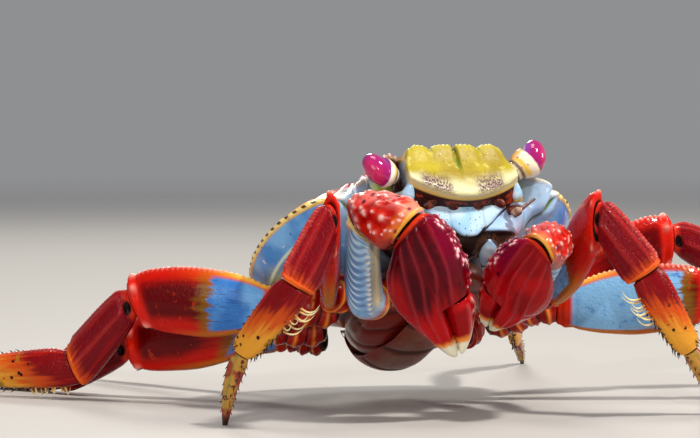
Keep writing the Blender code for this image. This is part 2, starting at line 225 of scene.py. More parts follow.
# 0 to 1 between low and high, smoothly; 1 to 0 where low is the larger
def ramp(value, low, high):
    return value.finish.node("MapRange", {"interpolation_type": "SMOOTHSTEP"}, {0: value, 1: low, 2: high})


def hump(value, middle, width):
    return ramp(abs(value - middle), width, 0.0)


def wave(value):
    return value.finish.node("Math", {"operation": "SINE"}, {0: value})


# one material's node tree
class Finish:
    def __init__(self, name):
        self.material = bpy.data.materials.new(name)
        self.material.use_nodes = True
        self.tree = self.material.node_tree
        self.tree.nodes.clear()

    # any node: its type, its settings, then the values or links of its sockets
    def node(self, kind, settings=None, sockets=None, output=0):
        made = self.tree.nodes.new("ShaderNode" + kind)
        for key, value in (settings or {}).items():
            setattr(made, key, value)
        for key, value in (sockets or {}).items():
            if isinstance(value, Wire):
                self.tree.links.new(value.socket, made.inputs[key])
            else:
                made.inputs[key].default_value = value
        return Wire(self, made.outputs[output]) if len(made.outputs) else None

    def field(self, name):
        return self.node("Attribute", {"attribute_name": name}, output="Fac")

    def vector(self, x, y, z):
        return self.node("CombineXYZ", None, {0: x, 1: y, 2: z})

    def place(self):
        return self.node("TexCoord", output="Object")

    def noise(self, scale, detail=3.0, vector=None):
        return self.node("TexNoise", None,
                         {"Vector": vector or self.place(), "Scale": scale, "Detail": detail})

    def cells(self, scale, vector=None):
        return self.node("TexVoronoi", None, {"Vector": vector or self.place(), "Scale": scale}, "Distance")

    # low rounded bumps between pores
    def pores(self, scale, size=0.55):
        return ramp(self.cells(scale), 0.0, size)

    # streaks that run along a limb: noise stretched lengthwise
    def streaks(self, lengthwise, across, seed=0.0):
        along, upper, front = (self.field(name) for name in ("along", "upper", "front"))
        return self.noise(1.0, 3.0, self.vector(along * lengthwise + seed, upper * across, front * across))

    def blend(self, share, first, second):
        return self.node("Mix", {"data_type": "RGBA"}, {0: share, 6: first, 7: second}, 2)

    # paints one colour after another over the first, each where its mask is 1
    def layers(self, base, *coats):
        base = tint(*base) if isinstance(base, tuple) else base
        for mask, *colour in coats:
            base = self.blend(mask, base, tint(*colour) if len(colour) == 3 else colour[0])
        return base

    # the wet shell's shader; the height's depth is in millimetres
    def shell(self, colour, height, depth=0.2, rough=(0.16, 0.3), coat=0.35, coatRough=0.05, gloss=0.26):
        roughness = self.noise(900) * (rough[1] - rough[0]) + rough[0]
        bump = self.node("Bump", None, {"Strength": 0.7, "Distance": depth * metre, "Height": height})
        shader = self.node("BsdfPrincipled", None, {
            "Base Color": colour, "Roughness": roughness, "Normal": bump, "Specular IOR Level": gloss,
            "Coat Weight": coat, "Coat Roughness": coatRough, "Coat IOR": 1.3})
        self.node("OutputMaterial", None, {"Surface": shader})
        return self.material


# a new finish, the named fields of its piece, and noises of the given scales
def finishWith(name, fields, *scales):
    f = Finish(name)
    return f, *(f.field(field) for field in fields.split()), *(f.noise(scale) for scale in scales)


# the shield over the body
shield = {
    "halfWidth": 37.0, "halfLength": 33.5, "squareness": 2.2, "frontAngle": 18.8,
    "teeth": ((37.5, 2.6, 2.9), (45.5, 2.2, 1.3)),   # degrees from the front, width, height in mm
    "lobeHeight": 1.0, "grooveDepth": 0.75, "striaHeight": 0.26, "striaEvery": 6.0, "regionDepth": 0.55,
    "top": 9.3, "bottom": -9.4,
}
# share of the edge's radius, or distance forward, and height, down the section from the top
sideProfile = ((0.3, 8.8), (0.55, 7.8), (0.76, 5.8), (0.91, 3.0), (1.0, 0.3), (0.985, -1.2),
               (0.93, -3.8), (0.84, -6.6), (0.72, -8.8), (0.58, -9.3), (0.3, -9.4))
orbitProfile = ((0.3, 8.9), (0.55, 8.4), (0.74, 7.3), (0.85, 6.0), (0.9, 4.8), (0.86, 3.4),
                (0.76, 0.2), (0.92, -3.6), (0.84, -10.0), (0.64, -11.4), (0.3, -9.4))
frontProfile = ((10.0, 8.9), (18.5, 8.5), (25.0, 8.0), (30.0, 7.2), (34.3, 5.8), (35.4, 1.8),
                (37.2, -5.4), (36.0, -7.4), (32.2, -9.6), (31.0, -14.6), (11.0, -9.4))


# distance from the middle to the shell's edge: a superellipse with two teeth raised on it
def edgeRadius(sweep):
    power = shield["squareness"]
    across = np.abs(np.sin(np.radians(sweep))) / shield["halfWidth"]
    along = np.abs(np.cos(np.radians(sweep))) / shield["halfLength"]
    radius = (across ** power + along ** power) ** (-1.0 / power)
    return radius + sum(height * bell(sweep, middle, width) for middle, width, height in shield["teeth"])


# Sections of the shell for every angle at once, rows first: the side's shape, passing into the eye socket's
# and then into the front's, with four lobes along the brow.
def shieldRows(sweep):
    radius = edgeRadius(sweep)
    side, orbit, front = (np.array(p)[:, None, :] * np.ones((1, len(sweep), 1))
                          for p in (sideProfile, orbitProfile, frontProfile))
    side[..., 0] *= radius
    orbit[..., 0] *= radius
    across = np.clip(sweep / shield["frontAngle"], 0.0, 1.0)
    lobes = 0.85 - 0.55 * bell(across, 0.5, 0.07) - 0.95 * bell(across, 0.0, 0.045)
    lobes = lobes - 0.7 * ease(across, 0.8, 1.0) + 0.12 * np.sin(across * 9.0)
    belly = 1.0 - across ** 2
    for row, outward, upward in ((3, 0.0, 0.5), (4, 0.35, 1.0), (5, 0.25, 0.0)):
        front[row, :, 0] += outward * lobes
        front[row, :, 1] += upward * shield["lobeHeight"] * lobes
    front[6:8, :, 0] += 0.6 * belly
    front[6:8, :, 1] += 3.3 - 4.2 * belly
    front[..., 0] /= np.cos(np.radians(np.minimum(sweep, 60.0)))
    mixed = orbit + (side - orbit) * ease(sweep, 32.0, 39.0)[:, None]
    # the cheek below the socket passes into the front more slowly than the socket does
    row = np.arange(11)[:, None]
    quick = ease(sweep, shield["frontAngle"], 22.6 + 3.0 * (row == 7))
    mixed = front + (mixed - front) * np.where(row < 8, quick, ease(sweep, 14.0, 38.0))[..., None]
    mixed[3:7, :, 1] -= 1.7 * bell(sweep, 41.0, 8.0)
    lift = bell(sweep, 25.5, 4.5) * ease(sweep, 18.8, 22.0)
    mixed[2:6, :, 1] += np.array([1.2, 2.4, 3.2, 2.2])[:, None] * lift
    rear = ease(sweep, 120.0, 165.0)
    mixed[5:, :, 0] += rear * (0.985 * radius - mixed[5:, :, 0]) * 0.45
    mixed[5:, :, 1] += rear * 2.2
    return mixed


# what stands above or below the smooth shell, in mm, from the angle, the level down the section and the
# place in plan
def shieldRelief(signed, level, left, ahead):
    sweep, beside = np.abs(signed), np.abs(left)
    across = sweep / shield["frontAngle"]
    brow, upper = ease(sweep, 23.0, 20.0), ease(level, 4.8, 4.2)
    grooves = bell(across, 0.0, 0.03) * window(level, 1.2, 2.6, 4.9, 5.5) * shield["grooveDepth"]
    grooves = grooves + brow * 0.22 * bell(across, 0.5, 0.05) * window(level, 1.6, 2.8, 4.1, 4.6)
    flank = bell(sweep, 44.5 - (level - 4.6) * 1.9, 0.8) * window(level, 4.6, 5.2, 8.6, 9.2)
    under = bell(sweep, 31.0, 1.1) * window(level, 7.2, 7.8, 9.0, 9.6)
    grooves = grooves + 0.55 * flank + 0.15 * under
    # furrows between the regions of the back: beside the middle, across the neck and round the heart
    middle = bell(beside, 10.5 + 0.012 * (ahead + 4.0) ** 2, 1.5) * window(ahead, -26, -20, 6, 11)
    neck = bell(ahead, 5.0 + beside * 0.42, 1.7) * window(beside, 7.0, 11.0, 25.0, 30.0)
    heart = bell(ahead, -8.0 - beside * 0.2, 1.5) * ease(beside, 12.0, 8.0)
    regions = shield["regionDepth"] * upper * (middle + neck + heart)
    phase = sweep / shield["striaEvery"] + (4.2 - level) * 1.15 + 0.12 * np.sin(sweep * 0.5 + level * 3.0)
    striae = knobs(phase, 1.0, 3.0) * window(sweep, 46, 54, 142, 158) * ease(level, 0.9, 2.0) * upper
    fringe = bell(level, 3.95, 0.26) * knobs(sweep, 1 / 1.7, 1.0) * brow * 0.2
    beads = 0.5 * bell(level, 3.9, 0.4) * knobs(sweep, 1 / 1.9, 1.3)
    fringe = fringe + beads * window(sweep, 21, 23, 34, 36)
    margin = 0.3 * bell(level, 4.0, 0.22) * window(sweep, 48, 54, 125, 140)
    margin = margin * (0.7 + 0.3 * knobs(sweep, 1 / 2.0, 1.0))
    knob = bell(sweep, 24.5, 1.5) * bell(level, 7.0, 0.5)
    line = 0.22 * bell(level, 6.35, 0.14) * window(sweep, 62, 70, 112, 122)
    relief = shield["striaHeight"] * striae + fringe + margin + knob + line - grooves - regions
    groove, bead = np.clip(grooves / 0.5, 0, 1), np.clip(fringe / 0.4, 0, 1)
    return relief, {"stria": striae, "groove": groove, "bead": bead}


# from, to and how many, endpoints left out by False: close together where the face is
shieldSteps = {"sweep": ((0, 50, 129, False), (50, 180, 118)),
               "level": ((-0.85, 3, 29, False), (3, 8.3, 95, False), (8.3, 10.8, 16))}


def shieldGrid(key):
    return np.concatenate([np.linspace(*step) for step in shieldSteps[key]])


# point = (radius * sin(angle), radius * cos(angle), height): radius and height are read off the section of
# that angle, at the level down it
def shieldSurface():
    half, level = shieldGrid("sweep"), shieldGrid("level")
    signed = np.concatenate([half, -half[-2:0:-1]])
    sweep = np.abs(signed)
    rows = shieldRows(sweep)
    top, below = (np.broadcast_to((0.0, shield[end]), rows[:1].shape) for end in ("top", "bottom"))
    spread = throughRows(np.arange(-1, 12), np.concatenate([top, rows, below]), level, steady=False)
    # the cheek is a moving average, so it runs smoothly from the mouth to the flank
    average = sum(np.roll(spread, k, axis=1) for k in range(-9, 10)) / 19
    cheek = ease(level, 6.3, 7.4)[:, None] * window(sweep, 19.5, 23.0, 40.0, 46.0)
    spread = spread + (average - spread) * cheek[..., None]
    angle = np.radians(signed)
    grid = np.stack([spread[..., 0] * np.sin(angle), spread[..., 0] * np.cos(angle), spread[..., 1]], -1)
    relief, fields = shieldRelief(signed, level[:, None], grid[..., 0], grid[..., 1])
    grid = grid + gridNormals(grid) * relief[..., None]
    # the brow narrows a little upwards
    narrow = 1.2 * bell(np.abs(grid[..., 0]), 12.5, 3.0) * ease(grid[..., 1], 27, 32)
    grid[..., 0] -= np.sign(grid[..., 0]) * narrow * window(level, 1.5, 3.0, 3.8, 5.4)[:, None]
    fields.update(sweep=sweep / 180, level=level[:, None] / 10, across=signed / 180)
    poles = bodyToRow([(0.0, 0.0, shield["top"]), (0.0, 0.0, shield["bottom"])])
    return closedSurface("carapace_shell", bodyToRow(grid), fields, poles)


def shieldFinish():
    f, sweep, level, across, stria, groove, bead, broad, fine = finishWith(
        "shield shell", "sweep level across stria groove bead", 110, 420)
    sweep, level = sweep * 180, level * 10
    grit, speck = f.noise(2600, 2.0), f.cells(330)
    brow = ramp(sweep, 20.6, 19.4)
    # back: brick red over maroon, cream spots and slanting cream lines, yellow towards the edge
    back = f.layers(
        (94, 10, 16),
        (ramp(broad + fine * 0.35, 0.52, 0.82), 196, 44, 16),
        (ramp(speck, 0.2, 0.1) * ramp(fine, 0.4, 0.55), 238, 190, 120),
        (stria * ramp(fine, 0.3, 0.5), 242, 206, 140),
        (ramp(level, 2.5, 3.7) * ramp(sweep, 26, 50) * ramp(fine, 0.28, 0.5), 236, 168, 62),
        (ramp(level, 1.6, 3.4) * ramp(sweep, 30, 18) * ramp(broad, 0.3, 0.55), 226, 196, 84))
    # wall: sky blue, paler ahead as a painted highlight, olive and then red towards the legs
    wall = f.layers(
        (66, 136, 208),
        (ramp(broad, 0.42, 0.66), 118, 178, 232),
        (ramp(speck, 0.16, 0.08) * ramp(sweep, 55, 66), 64, 118, 190),
        # painted highlight: paler blue towards the front
        (ramp(sweep, 62, 40) * ramp(fine, 0.1, 0.5), 150, 188, 230),
        (ramp(sweep, 44, 34) * ramp(broad, 0.3, 0.6) * 0.8, 190, 208, 238),
        (ramp(fine, 0.62, 0.74), 206, 222, 244),
        (ramp(sweep, 78, 104) * ramp(level + broad * 1.6, 6.3, 7.6), 176, 164, 62),
        (ramp(sweep, 66, 92) * ramp(level + fine, 7.9, 8.9), 206, 84, 26),
        (hump(level, 6.35, 0.16) * ramp(sweep, 62, 72) * ramp(sweep, 124, 112), 214, 228, 200))
    edge = f.layers(
        (246, 222, 140),
        (ramp(wave(sweep * 1.5 + level * 5), -0.1, 0.5) * ramp(sweep, 48, 54) * ramp(level, 4.4, 4.1),
         46, 22, 16))
    colour = f.layers(
        back,
        (ramp(level, 4.5, 4.8), wall),
        (hump(level, 4.15, 0.62), edge),
        (ramp(level, 8.9, 9.6), f.blend(ramp(sweep, 24, 34), tint(46, 18, 16), tint(140, 150, 168))))
    # eye socket: lime floor, cream below, dark beaded rim above and painted shade under that rim
    socket = ramp(sweep, 20.2, 22.0) * ramp(sweep, 36.5, 33.0)
    colour = f.layers(
        colour,
        # painted shade: dark in the socket under its beaded rim
        (socket * ramp(level, 4.0, 4.5) * ramp(level, 7.4, 6.8), 64, 20, 26),
        (socket * ramp(level, 4.6, 5.2) * ramp(level, 7.2, 6.6) * ramp(sweep, 25, 29), 158, 160, 70),
        (socket * hump(level, 6.7, 0.6), 226, 226, 196),
        (socket * hump(level, 3.8, 0.7), 104, 16, 40),
        (socket * bead * ramp(fine, 0.3, 0.5), 226, 176, 168),
        (hump(sweep, 40.0, 9.0) * ramp(level + fine, 2.9, 3.5) * ramp(level, 6.4, 5.6), 176, 208, 238),
        (hump(sweep, 41.0, 9.0) * hump(level + fine * 0.5, 3.3, 0.24), 92, 128, 70),
        (hump(sweep, 37.5, 2.6) * hump(level, 3.9, 0.5), 246, 232, 180))
    # brow plate: yellow, lime-cream crest, cream hem with plum specks and a gold rim
    patches = ramp(abs(abs(across * 180 + 1.0) - 9.5), 6.5, 3.0)
    blots = f.noise(380, 3.0, f.vector(across * 0.9, level * 0.02, 0.0))
    plum = ramp(blots, 0.46, 0.52) * patches
    plate = f.layers(
        (148, 126, 10),
        (ramp(broad, 0.36, 0.62), 172, 154, 22),
        (ramp(level + broad * 1.2, 5.1, 4.2), 190, 184, 86),
        (ramp(level + fine * 0.9, 4.55, 3.8), 214, 210, 158),
        (ramp(fine, 0.58, 0.72) * 0.6, 200, 192, 98),
        (ramp(level + fine * 0.5, 5.6, 6.15), 198, 194, 148),
        (patches * hump(level, 6.0, 0.75) * ramp(fine, 0.3, 0.6) * 0.75, 116, 74, 74),
        (plum * hump(level, 6.0, 0.8), 70, 16, 48),
        (ramp(level + fine * 0.1, 6.84, 6.95), 212, 184, 104))
    face = brow * ramp(level + fine * 0.5, 3.1, 3.6)
    colour = f.layers(
        colour,
        (face, plate),
        # painted shade: a dark band under the brow's gold rim
        (brow * ramp(level, 6.98, 7.12), 44, 12, 10),
        (ramp(sweep + level * 11.2, 104.4, 105.2) * ramp(level, 7.2, 7.5) * ramp(sweep, 48, 40),
         f.blend(ramp(broad, 0.4, 0.6), tint(146, 188, 228), tint(186, 206, 238))),
        (brow * ramp(level, 7.1, 7.3) * ramp(fine, 0.56, 0.62) * ramp(level, 7.9, 7.6), 142, 50, 26),
        # dark membranes round the mouth, with painted shade of its hollow: near black below the cheek plate
        # and low at the front
        (ramp(sweep + level * 11.2, 105.2, 104.4) * ramp(level, 7.6, 8.0) * brow, 20, 9, 9),
        (ramp(level, 8.62, 8.78) * ramp(sweep, 46, 40), 34, 14, 12),
        (groove * ramp(level, 4.6, 4.2), 104, 104, 24),
        (groove * ramp(level, 4.4, 4.8), 96, 118, 36))
    dimple = ramp(f.cells(900), 0.35, 0.05) * brow
    height = f.pores(700, 0.6) * 0.35 + grit * 0.25 + fine * 0.5 - dimple * 0.5
    return f.shell(colour, height, 0.16, (face * 0.2 + 0.16, face * 0.2 + 0.3), 0.36 - face * 0.3)


settle(shieldSurface(), shieldFinish(), "body_shell", "carapace")
print("shield made")


# pieces carried along a bone
# Axes of a limb piece, as columns: x along it, y its flat side, z its upper edge.
def limbAxes(ahead, roll=0.0, hint=(0.0, 0.0, 1.0)):
    ahead = unit(np.asarray(ahead, float))
    hint = np.broadcast_to(np.asarray(hint, float), ahead.shape)
    upper = unit(hint - ahead * np.sum(ahead * hint, axis=-1, keepdims=True))
    upper = upper * math.cos(math.radians(roll)) + np.cross(ahead, upper) * math.sin(math.radians(roll))
    return np.stack([ahead, np.cross(upper, ahead), upper], -1)


# Rounded section: across = side * |sin|^(2/power), up = upper or lower half * |cos|^(2/power).
def sectionPoints(sizes, turns, power):
    sine, cosine = np.sin(np.radians(turns))[None, :], np.cos(np.radians(turns))[None, :]
    half = np.where(cosine > 0, sizes[:, 0:1], sizes[:, 1:2])
    return sizes[:, 2:3] * squared(sine, 2 / power), half * squared(cosine, 2 / power)


# How an end closes: shares of the last ring's size, how far each ring is pushed on, and how much of it is
# inside the joint.
endings = {
    "neck": ((0.93, 0.80, 0.58, 0.30), (0.12, 0.5, 0.85, 1.0), (0.6, 1.0, 1.0, 1.0)),
    "cup": ((0.97, 0.91, 0.85, 0.79, 0.5, 0.2), (0.05, 0.0, -0.15, -0.9, -1.3, -1.4), (0, 0, 0.5, 1, 1, 1)),
    "tip": ((0.93, 0.74, 0.42), (0.25, 0.5, 0.62), (0.0, 0.0, 0.0)),
    "flat": ((0.6, 0.25), (0.0, 0.0), (0.0, 0.0)),
}


# The rings of a piece that begins in a neck: their shares of its length, sizes, pushes, how far inside a
# joint they are, and how much of the relief they carry.
def ringsOf(ending, count):
    into, out = np.array(endings["neck"])[:, ::-1], np.array(endings[ending])
    share = np.concatenate([np.zeros(into.shape[1]), np.linspace(0, 1, count), np.ones(out.shape[1])])
    middle = np.array([1.0, 0.0, 0.0])[:, None] * np.ones(count)
    scale, push, inside = np.concatenate([into * np.array([1.0, -1.0, 1.0])[:, None], middle, out], axis=1)
    fade = (inside == 0) * ease(share, 0.0, 0.04) * ease(1 - share, 0.0, 0.015)
    return share, scale, push, inside, fade[:, None]


# what the material of every limb piece reads
def limbFields(fields, share, turns, inside, sign):
    turns = np.radians(turns)
    return {**fields, "along": share[:, None], "upper": np.cos(turns), "inside": inside[:, None],
            "front": sign * np.sin(turns)}


# the plane halfway between two bones' directions, by its normal
def cutPlane(neighbour, along):
    return along if neighbour is None else unit(unit(neighbour) + along)


# half of the joint's gap, measured along the bone; steep planes are held at the least slope
def halfGap(plane, along):
    return body["jointGap"] / 2 / max(body["leastSlope"], plane @ along)


# One shell piece between two joints. Sections from the table run along it, spread between the two planes
# its ends are cut along, and the relief then stands on the surface's own normals.
def limbPiece(name, bone, table, girth, look):
    start, end, sign = bone["start"], bone["end"], bone["frontSign"]
    along = unit(end - start)
    planeIn, planeOut = cutPlane(bone.get("before"), along), cutPlane(bone.get("after"), along)
    first, last = start + along * halfGap(planeIn, along), end
    if bone.get("after") is not None:
        last = end - along * halfGap(planeOut, along)
    axes = limbAxes(along, look.get("roll", 0.0), bone.get("hint", (0.0, 0.0, 1.0)))
    low, high = planeIn @ axes, planeOut @ axes
    if look.get("onFloor"):
        high = np.array([0.0, 0.0, -1.0]) @ axes
    rows = np.array([(*row, 0.0)[:5] for row in table])
    count, around = look["counts"]
    share, scale, push, inside, fade = ringsOf(look.get("ending", "cup"), count)
    depth = min(1.0, 0.2 * girth * (rows[-1, 1] + rows[-1, 2]) / 2 + 0.1)
    turns = np.arange(around) * 360.0 / around
    sizes = throughRows(rows[:, 0], rows[:, 1:] * girth, share)
    across, upward = sectionPoints(sizes[:, :3] * scale[:, None], turns, look["power"])
    upward = upward + sizes[:, 3:4] + look.get("bow", 0.0) * np.sin(np.pi * share)[:, None]
    reach, s = look.get("reach", 1.0), share[:, None]
    slideLow, slideHigh = (-(across * cut[1] + upward * cut[2]) / cut[0] for cut in (low, high))
    ahead = np.linalg.norm(last - first) * s + slideLow * (1 - s) ** reach + slideHigh * s ** reach
    local = np.stack([ahead + (push * depth)[:, None], across, upward], -1)
    relief, fields = look["relief"](s, sign * turns[None, :])
    local = local + gridNormals(local) * (relief * fade)[..., None]
    grid = first + local @ axes.T
    if look.get("onFloor"):
        grid[..., 2] = np.maximum(grid[..., 2], floorLevel)
    made = closedSurface(name, grid, limbFields(fields, share, turns, inside, sign))
    return {"piece": made, "grid": grid, "axes": axes, "first": np.count_nonzero(share == 0) - 1,
            "count": count, "sign": sign}


# points and outward directions on a finished limb piece, at shares of its length and turns round it
def onPiece(made, shares, turns):
    last, around = made["count"] - 1, made["grid"].shape[1]
    row = made["first"] + np.clip(np.round(shares * last), 0, last).astype(int)
    column = np.round(made["sign"] * turns / 360.0 * around).astype(int) % around
    return made["grid"][row, column], gridNormals(made["grid"])[row, column]


def heading(degreesForward, degreesUp, side):
    turn, rise = math.radians(degreesForward), math.radians(degreesUp)
    level = math.cos(rise)
    return np.array([side * math.cos(turn) * level, -math.sin(turn) * level, math.sin(rise)])


def chain(start, lengths, pose, side):
    points = [start]
    for length, (forward, up) in zip(lengths, pose):
        points.append(points[-1] + heading(forward, up, side) * length)
    return points


# walking legs
# pose: degrees forward of straight out to the side, and degrees above level, for each piece
legPose = {
    "leg1_right": ((34, -6), (71, 37), (14, -57), (-56, -46)),
    "leg1_left": ((38, -10), (87, 38), (36, -49), (-10, -55)),
    "leg2_right": ((-20, 0), (-40, 1), (-44, -45), (-42, -5)),
    "leg2_left": ((20, -6), (20, 5), (14, -14), (10, -22)),
    "leg3_right": ((-28, -4), (-42, -8), (-52, -20), (-52, -2)),
    "leg3_left": ((8, 12), (8, 27), (-4, -21), (-8, -45)),
    "leg4_right": ((-50, -2), (-62, 4), (-62, -14), (-62, -14)),
    "leg4_left": ((-50, 8), (-58, 24), (-58, -25), (-58, -40)),
}
# hip in the body's frame, the five lengths and the five breadths
legSize = {
    "leg1": ((18.6, 7.0, -14.6), (10, 30, 16, 21, 16.5), (8.0, 13.0, 9.6, 8.6, 4.6)),
    "leg2": ((20.0, -2.4, -14.4), (13, 36, 22, 26, 16), (8.6, 15.6, 10.4, 9.0, 4.8)),
    "leg3": ((20.0, -12.0, -14.0), (13, 36, 21, 25, 15), (8.6, 15.0, 10.0, 8.4, 4.6)),
    "leg4": ((17.4, -20.6, -13.0), (10, 30, 17, 21, 13), (7.0, 11.6, 8.0, 7.0, 4.0)),
}
# how far out from the body the blue of the broad joint reaches, as a share of its length
blueReach = {"leg1_right": 0.3, "leg1_left": 0.42, "leg2_right": 0.44, "leg2_left": 0.8,
             "leg3_right": 0.22, "leg3_left": 0.2, "leg4_right": 0.3, "leg4_left": 0.3}
# share of the length; upper, lower and side half sizes for a girth of 1; in claws also a shift upwards
legTables = {
    "coxa": ((0, 0.72, 0.72, 0.66), (0.3, 0.98, 0.95, 0.8), (0.7, 0.86, 0.84, 0.68), (1, 0.66, 0.62, 0.5)),
    "merus": ((0, 0.46, 0.4, 0.2), (0.1, 0.68, 0.56, 0.28), (0.32, 0.98, 0.8, 0.36),
              (0.56, 1.08, 0.92, 0.38), (0.8, 0.98, 0.86, 0.36), (0.93, 0.78, 0.76, 0.32),
              (1, 0.58, 0.62, 0.28)),
    "carpus": ((0, 0.62, 0.5, 0.36), (0.16, 0.92, 0.72, 0.5), (0.5, 1, 0.9, 0.56), (0.86, 1, 0.98, 0.54),
               (1, 0.84, 0.84, 0.46)),
    "propodus": ((0, 0.9, 0.86, 0.48), (0.2, 1, 1, 0.54), (0.6, 0.88, 0.9, 0.5), (0.9, 0.74, 0.74, 0.46),
                 (1, 0.58, 0.56, 0.4)),
    "dactyl": ((0, 0.8, 0.76, 0.6), (0.15, 0.98, 0.9, 0.72), (0.5, 0.76, 0.74, 0.58),
               (0.82, 0.46, 0.46, 0.38), (1, 0.26, 0.22, 0.24)),
}


# swollen rings, like rolled rims
def coxaRelief(share, turn):
    bent = share + 0.13 * np.cos(np.radians(turn - 40)) * np.sin(np.pi * share)
    grooves = bells(bent, 0.04, 0.31, 0.68)
    edges = bells(bent, 0.025, 0.17, 0.51) + bell(bent, 0.88, 0.03)
    return 0.5 * bells(bent, 0.05, 0.14, 0.48, 0.86) - 0.55 * grooves, {"crown": edges, "ridge": grooves}


# beaded crest, two keels below, fine slanting wrinkles, a rim at each end and knobs round the far one
def merusRelief(share, turn):
    beads = near(turn, 10, 0) * knobs(share, 30, 1.3) * window(share, 0.03, 0.08, 0.92, 0.97)
    wrinkles = knobs(share + 0.05 * np.cos(np.radians(2 * turn)), 24, 2.0) * near(turn, 36, 60, 300)
    rims = bell(share, 0.05, 0.022) + bell(share, 0.975, 0.016)
    dips = bell(share, 0.105, 0.022) + bell(share, 0.93, 0.016)
    ring = near(turn, 12, 0) + 0.65 * near(turn, 10, 52, 308) + 0.8 * near(turn, 9, 150, 210)
    teeth = bell(share, 0.952, 0.02) * ring
    relief = (0.3 * near(turn, 14, 0) + 0.3 * beads + 0.2 * near(turn, 8, 156, 204) + 0.006 * wrinkles
              + 0.3 * rims - 0.2 * dips + 0.85 * teeth)
    return relief, {"crown": np.clip(beads + 0.8 * teeth, 0, 1), "ridge": wrinkles}


# two beaded ridges on each face and a granular top
def carpusRelief(share, turn):
    length = window(share, 0.06, 0.2, 0.85, 0.98)
    ridges = (near(turn, 7, 44, 316) + 0.6 * near(turn, 7, 92, 268)) * length
    top = near(turn, 14, 0) * length
    beads = top * knobs(share, 24, 1.2)
    holes = bell(share, 0.05, 0.055) * near(turn, 30, 98, 262)
    grains = knobs(share + turn / 500.0, 15, 2.0) * knobs(turn / 360.0 + share * 0.4, 22, 2.0) * length
    relief = (0.55 * ridges + 0.34 * top + 0.12 * beads + 0.3 * bell(share, 0.965, 0.02) + 0.03 * grains
              - 0.9 * holes)
    return relief, {"crown": beads, "ridge": ridges, "hole": holes}


# ridged above and below, with the spines' sockets along both edges
def propodusRelief(share, turn):
    length = window(share, 0.02, 0.1, 0.93, 1.0)
    ridges = (near(turn, 8, 32, 328) + 0.7 * near(turn, 9, 148, 212)) * length
    top = near(turn, 14, 0) * length
    beads = top * knobs(share, 22, 1.2)
    sockets = (near(turn, 14, 180) + near(turn, 10, 0)) * knobs(share, 11, 3.0) * ease(share, 0.3, 0.5)
    sockets = sockets * length
    relief = 0.26 * ridges + 0.25 * top + 0.16 * beads + 0.25 * sockets
    return relief, {"crown": beads, "ridge": np.clip(sockets, 0, 1)}


def dactylRelief(share, turn):
    grooves, length = near(turn, 12, 90, 270), window(share, 0.04, 0.14, 0.7, 0.95)
    sockets = near(turn, 12, 38, 322, 142, 218) * knobs(share, 9, 2.0) * length
    return 0.14 * sockets - 0.22 * grooves * length, {"crown": sockets, "ridge": grooves}


legLooks = {
    "coxa": {"counts": (46, 44), "relief": coxaRelief, "power": 2.2},
    "merus": {"counts": (132, 72), "relief": merusRelief, "power": 1.95},
    "carpus": {"counts": (84, 64), "relief": carpusRelief, "power": 2.1},
    "propodus": {"counts": (92, 60), "relief": propodusRelief, "power": 2.1},
    "dactyl": {"counts": (76, 40), "relief": dactylRelief, "power": 2.0, "ending": "flat", "onFloor": True,
               "bow": 0.9},
}


# the last piece of a leg leans just as much as brings its tip to the floor
def legSurfaces(name):
    pair, sideName = name.split("_")
    side = sides[sideName]
    hip, lengths, breadths = legSize[pair]
    points = chain(bodyToRow((side * hip[0], *hip[1:])), lengths, legPose[name], side)
    drop = math.degrees(math.asin((points[-1][2] - floorLevel) / lengths[4]))
    points.append(points[-1] + heading(legPose[name][3][0], -drop, side) * lengths[4])
    steps = [None, *np.diff(np.array(points), axis=0), None]
    made = {}
    for i, (part, look) in enumerate(legLooks.items()):
        bone = {"start": points[i], "end": points[i + 1], "before": steps[i], "after": steps[i + 2],
                "frontSign": -side}
        made[part] = limbPiece(f"{name}_{part}_shell", bone, legTables[part], breadths[i] / 2, look)
    return made


def jointDark(f, colour):
    return f.layers(colour, (f.field("inside"), 22, 7, 8))


# coat that is full on ridges and knobs and thin between them
def wetEdges(f):
    return ramp(f.field("ridge") + f.field("crown"), 0.1, 0.7) * 0.8 + 0.14


def coxaFinish():
    f, rim, groove, fine = finishWith("hip shell", "crown ridge", 500)
    colour = f.layers(
        (150, 12, 8),
        (ramp(fine, 0.5, 0.66), 186, 34, 14),
        (rim * ramp(fine, 0.3, 0.5), 240, 138, 42),
        (ramp(groove, 0.55, 0.95), 44, 6, 8))
    return f.shell(jointDark(f, colour), fine, 0.14, gloss=0.14)


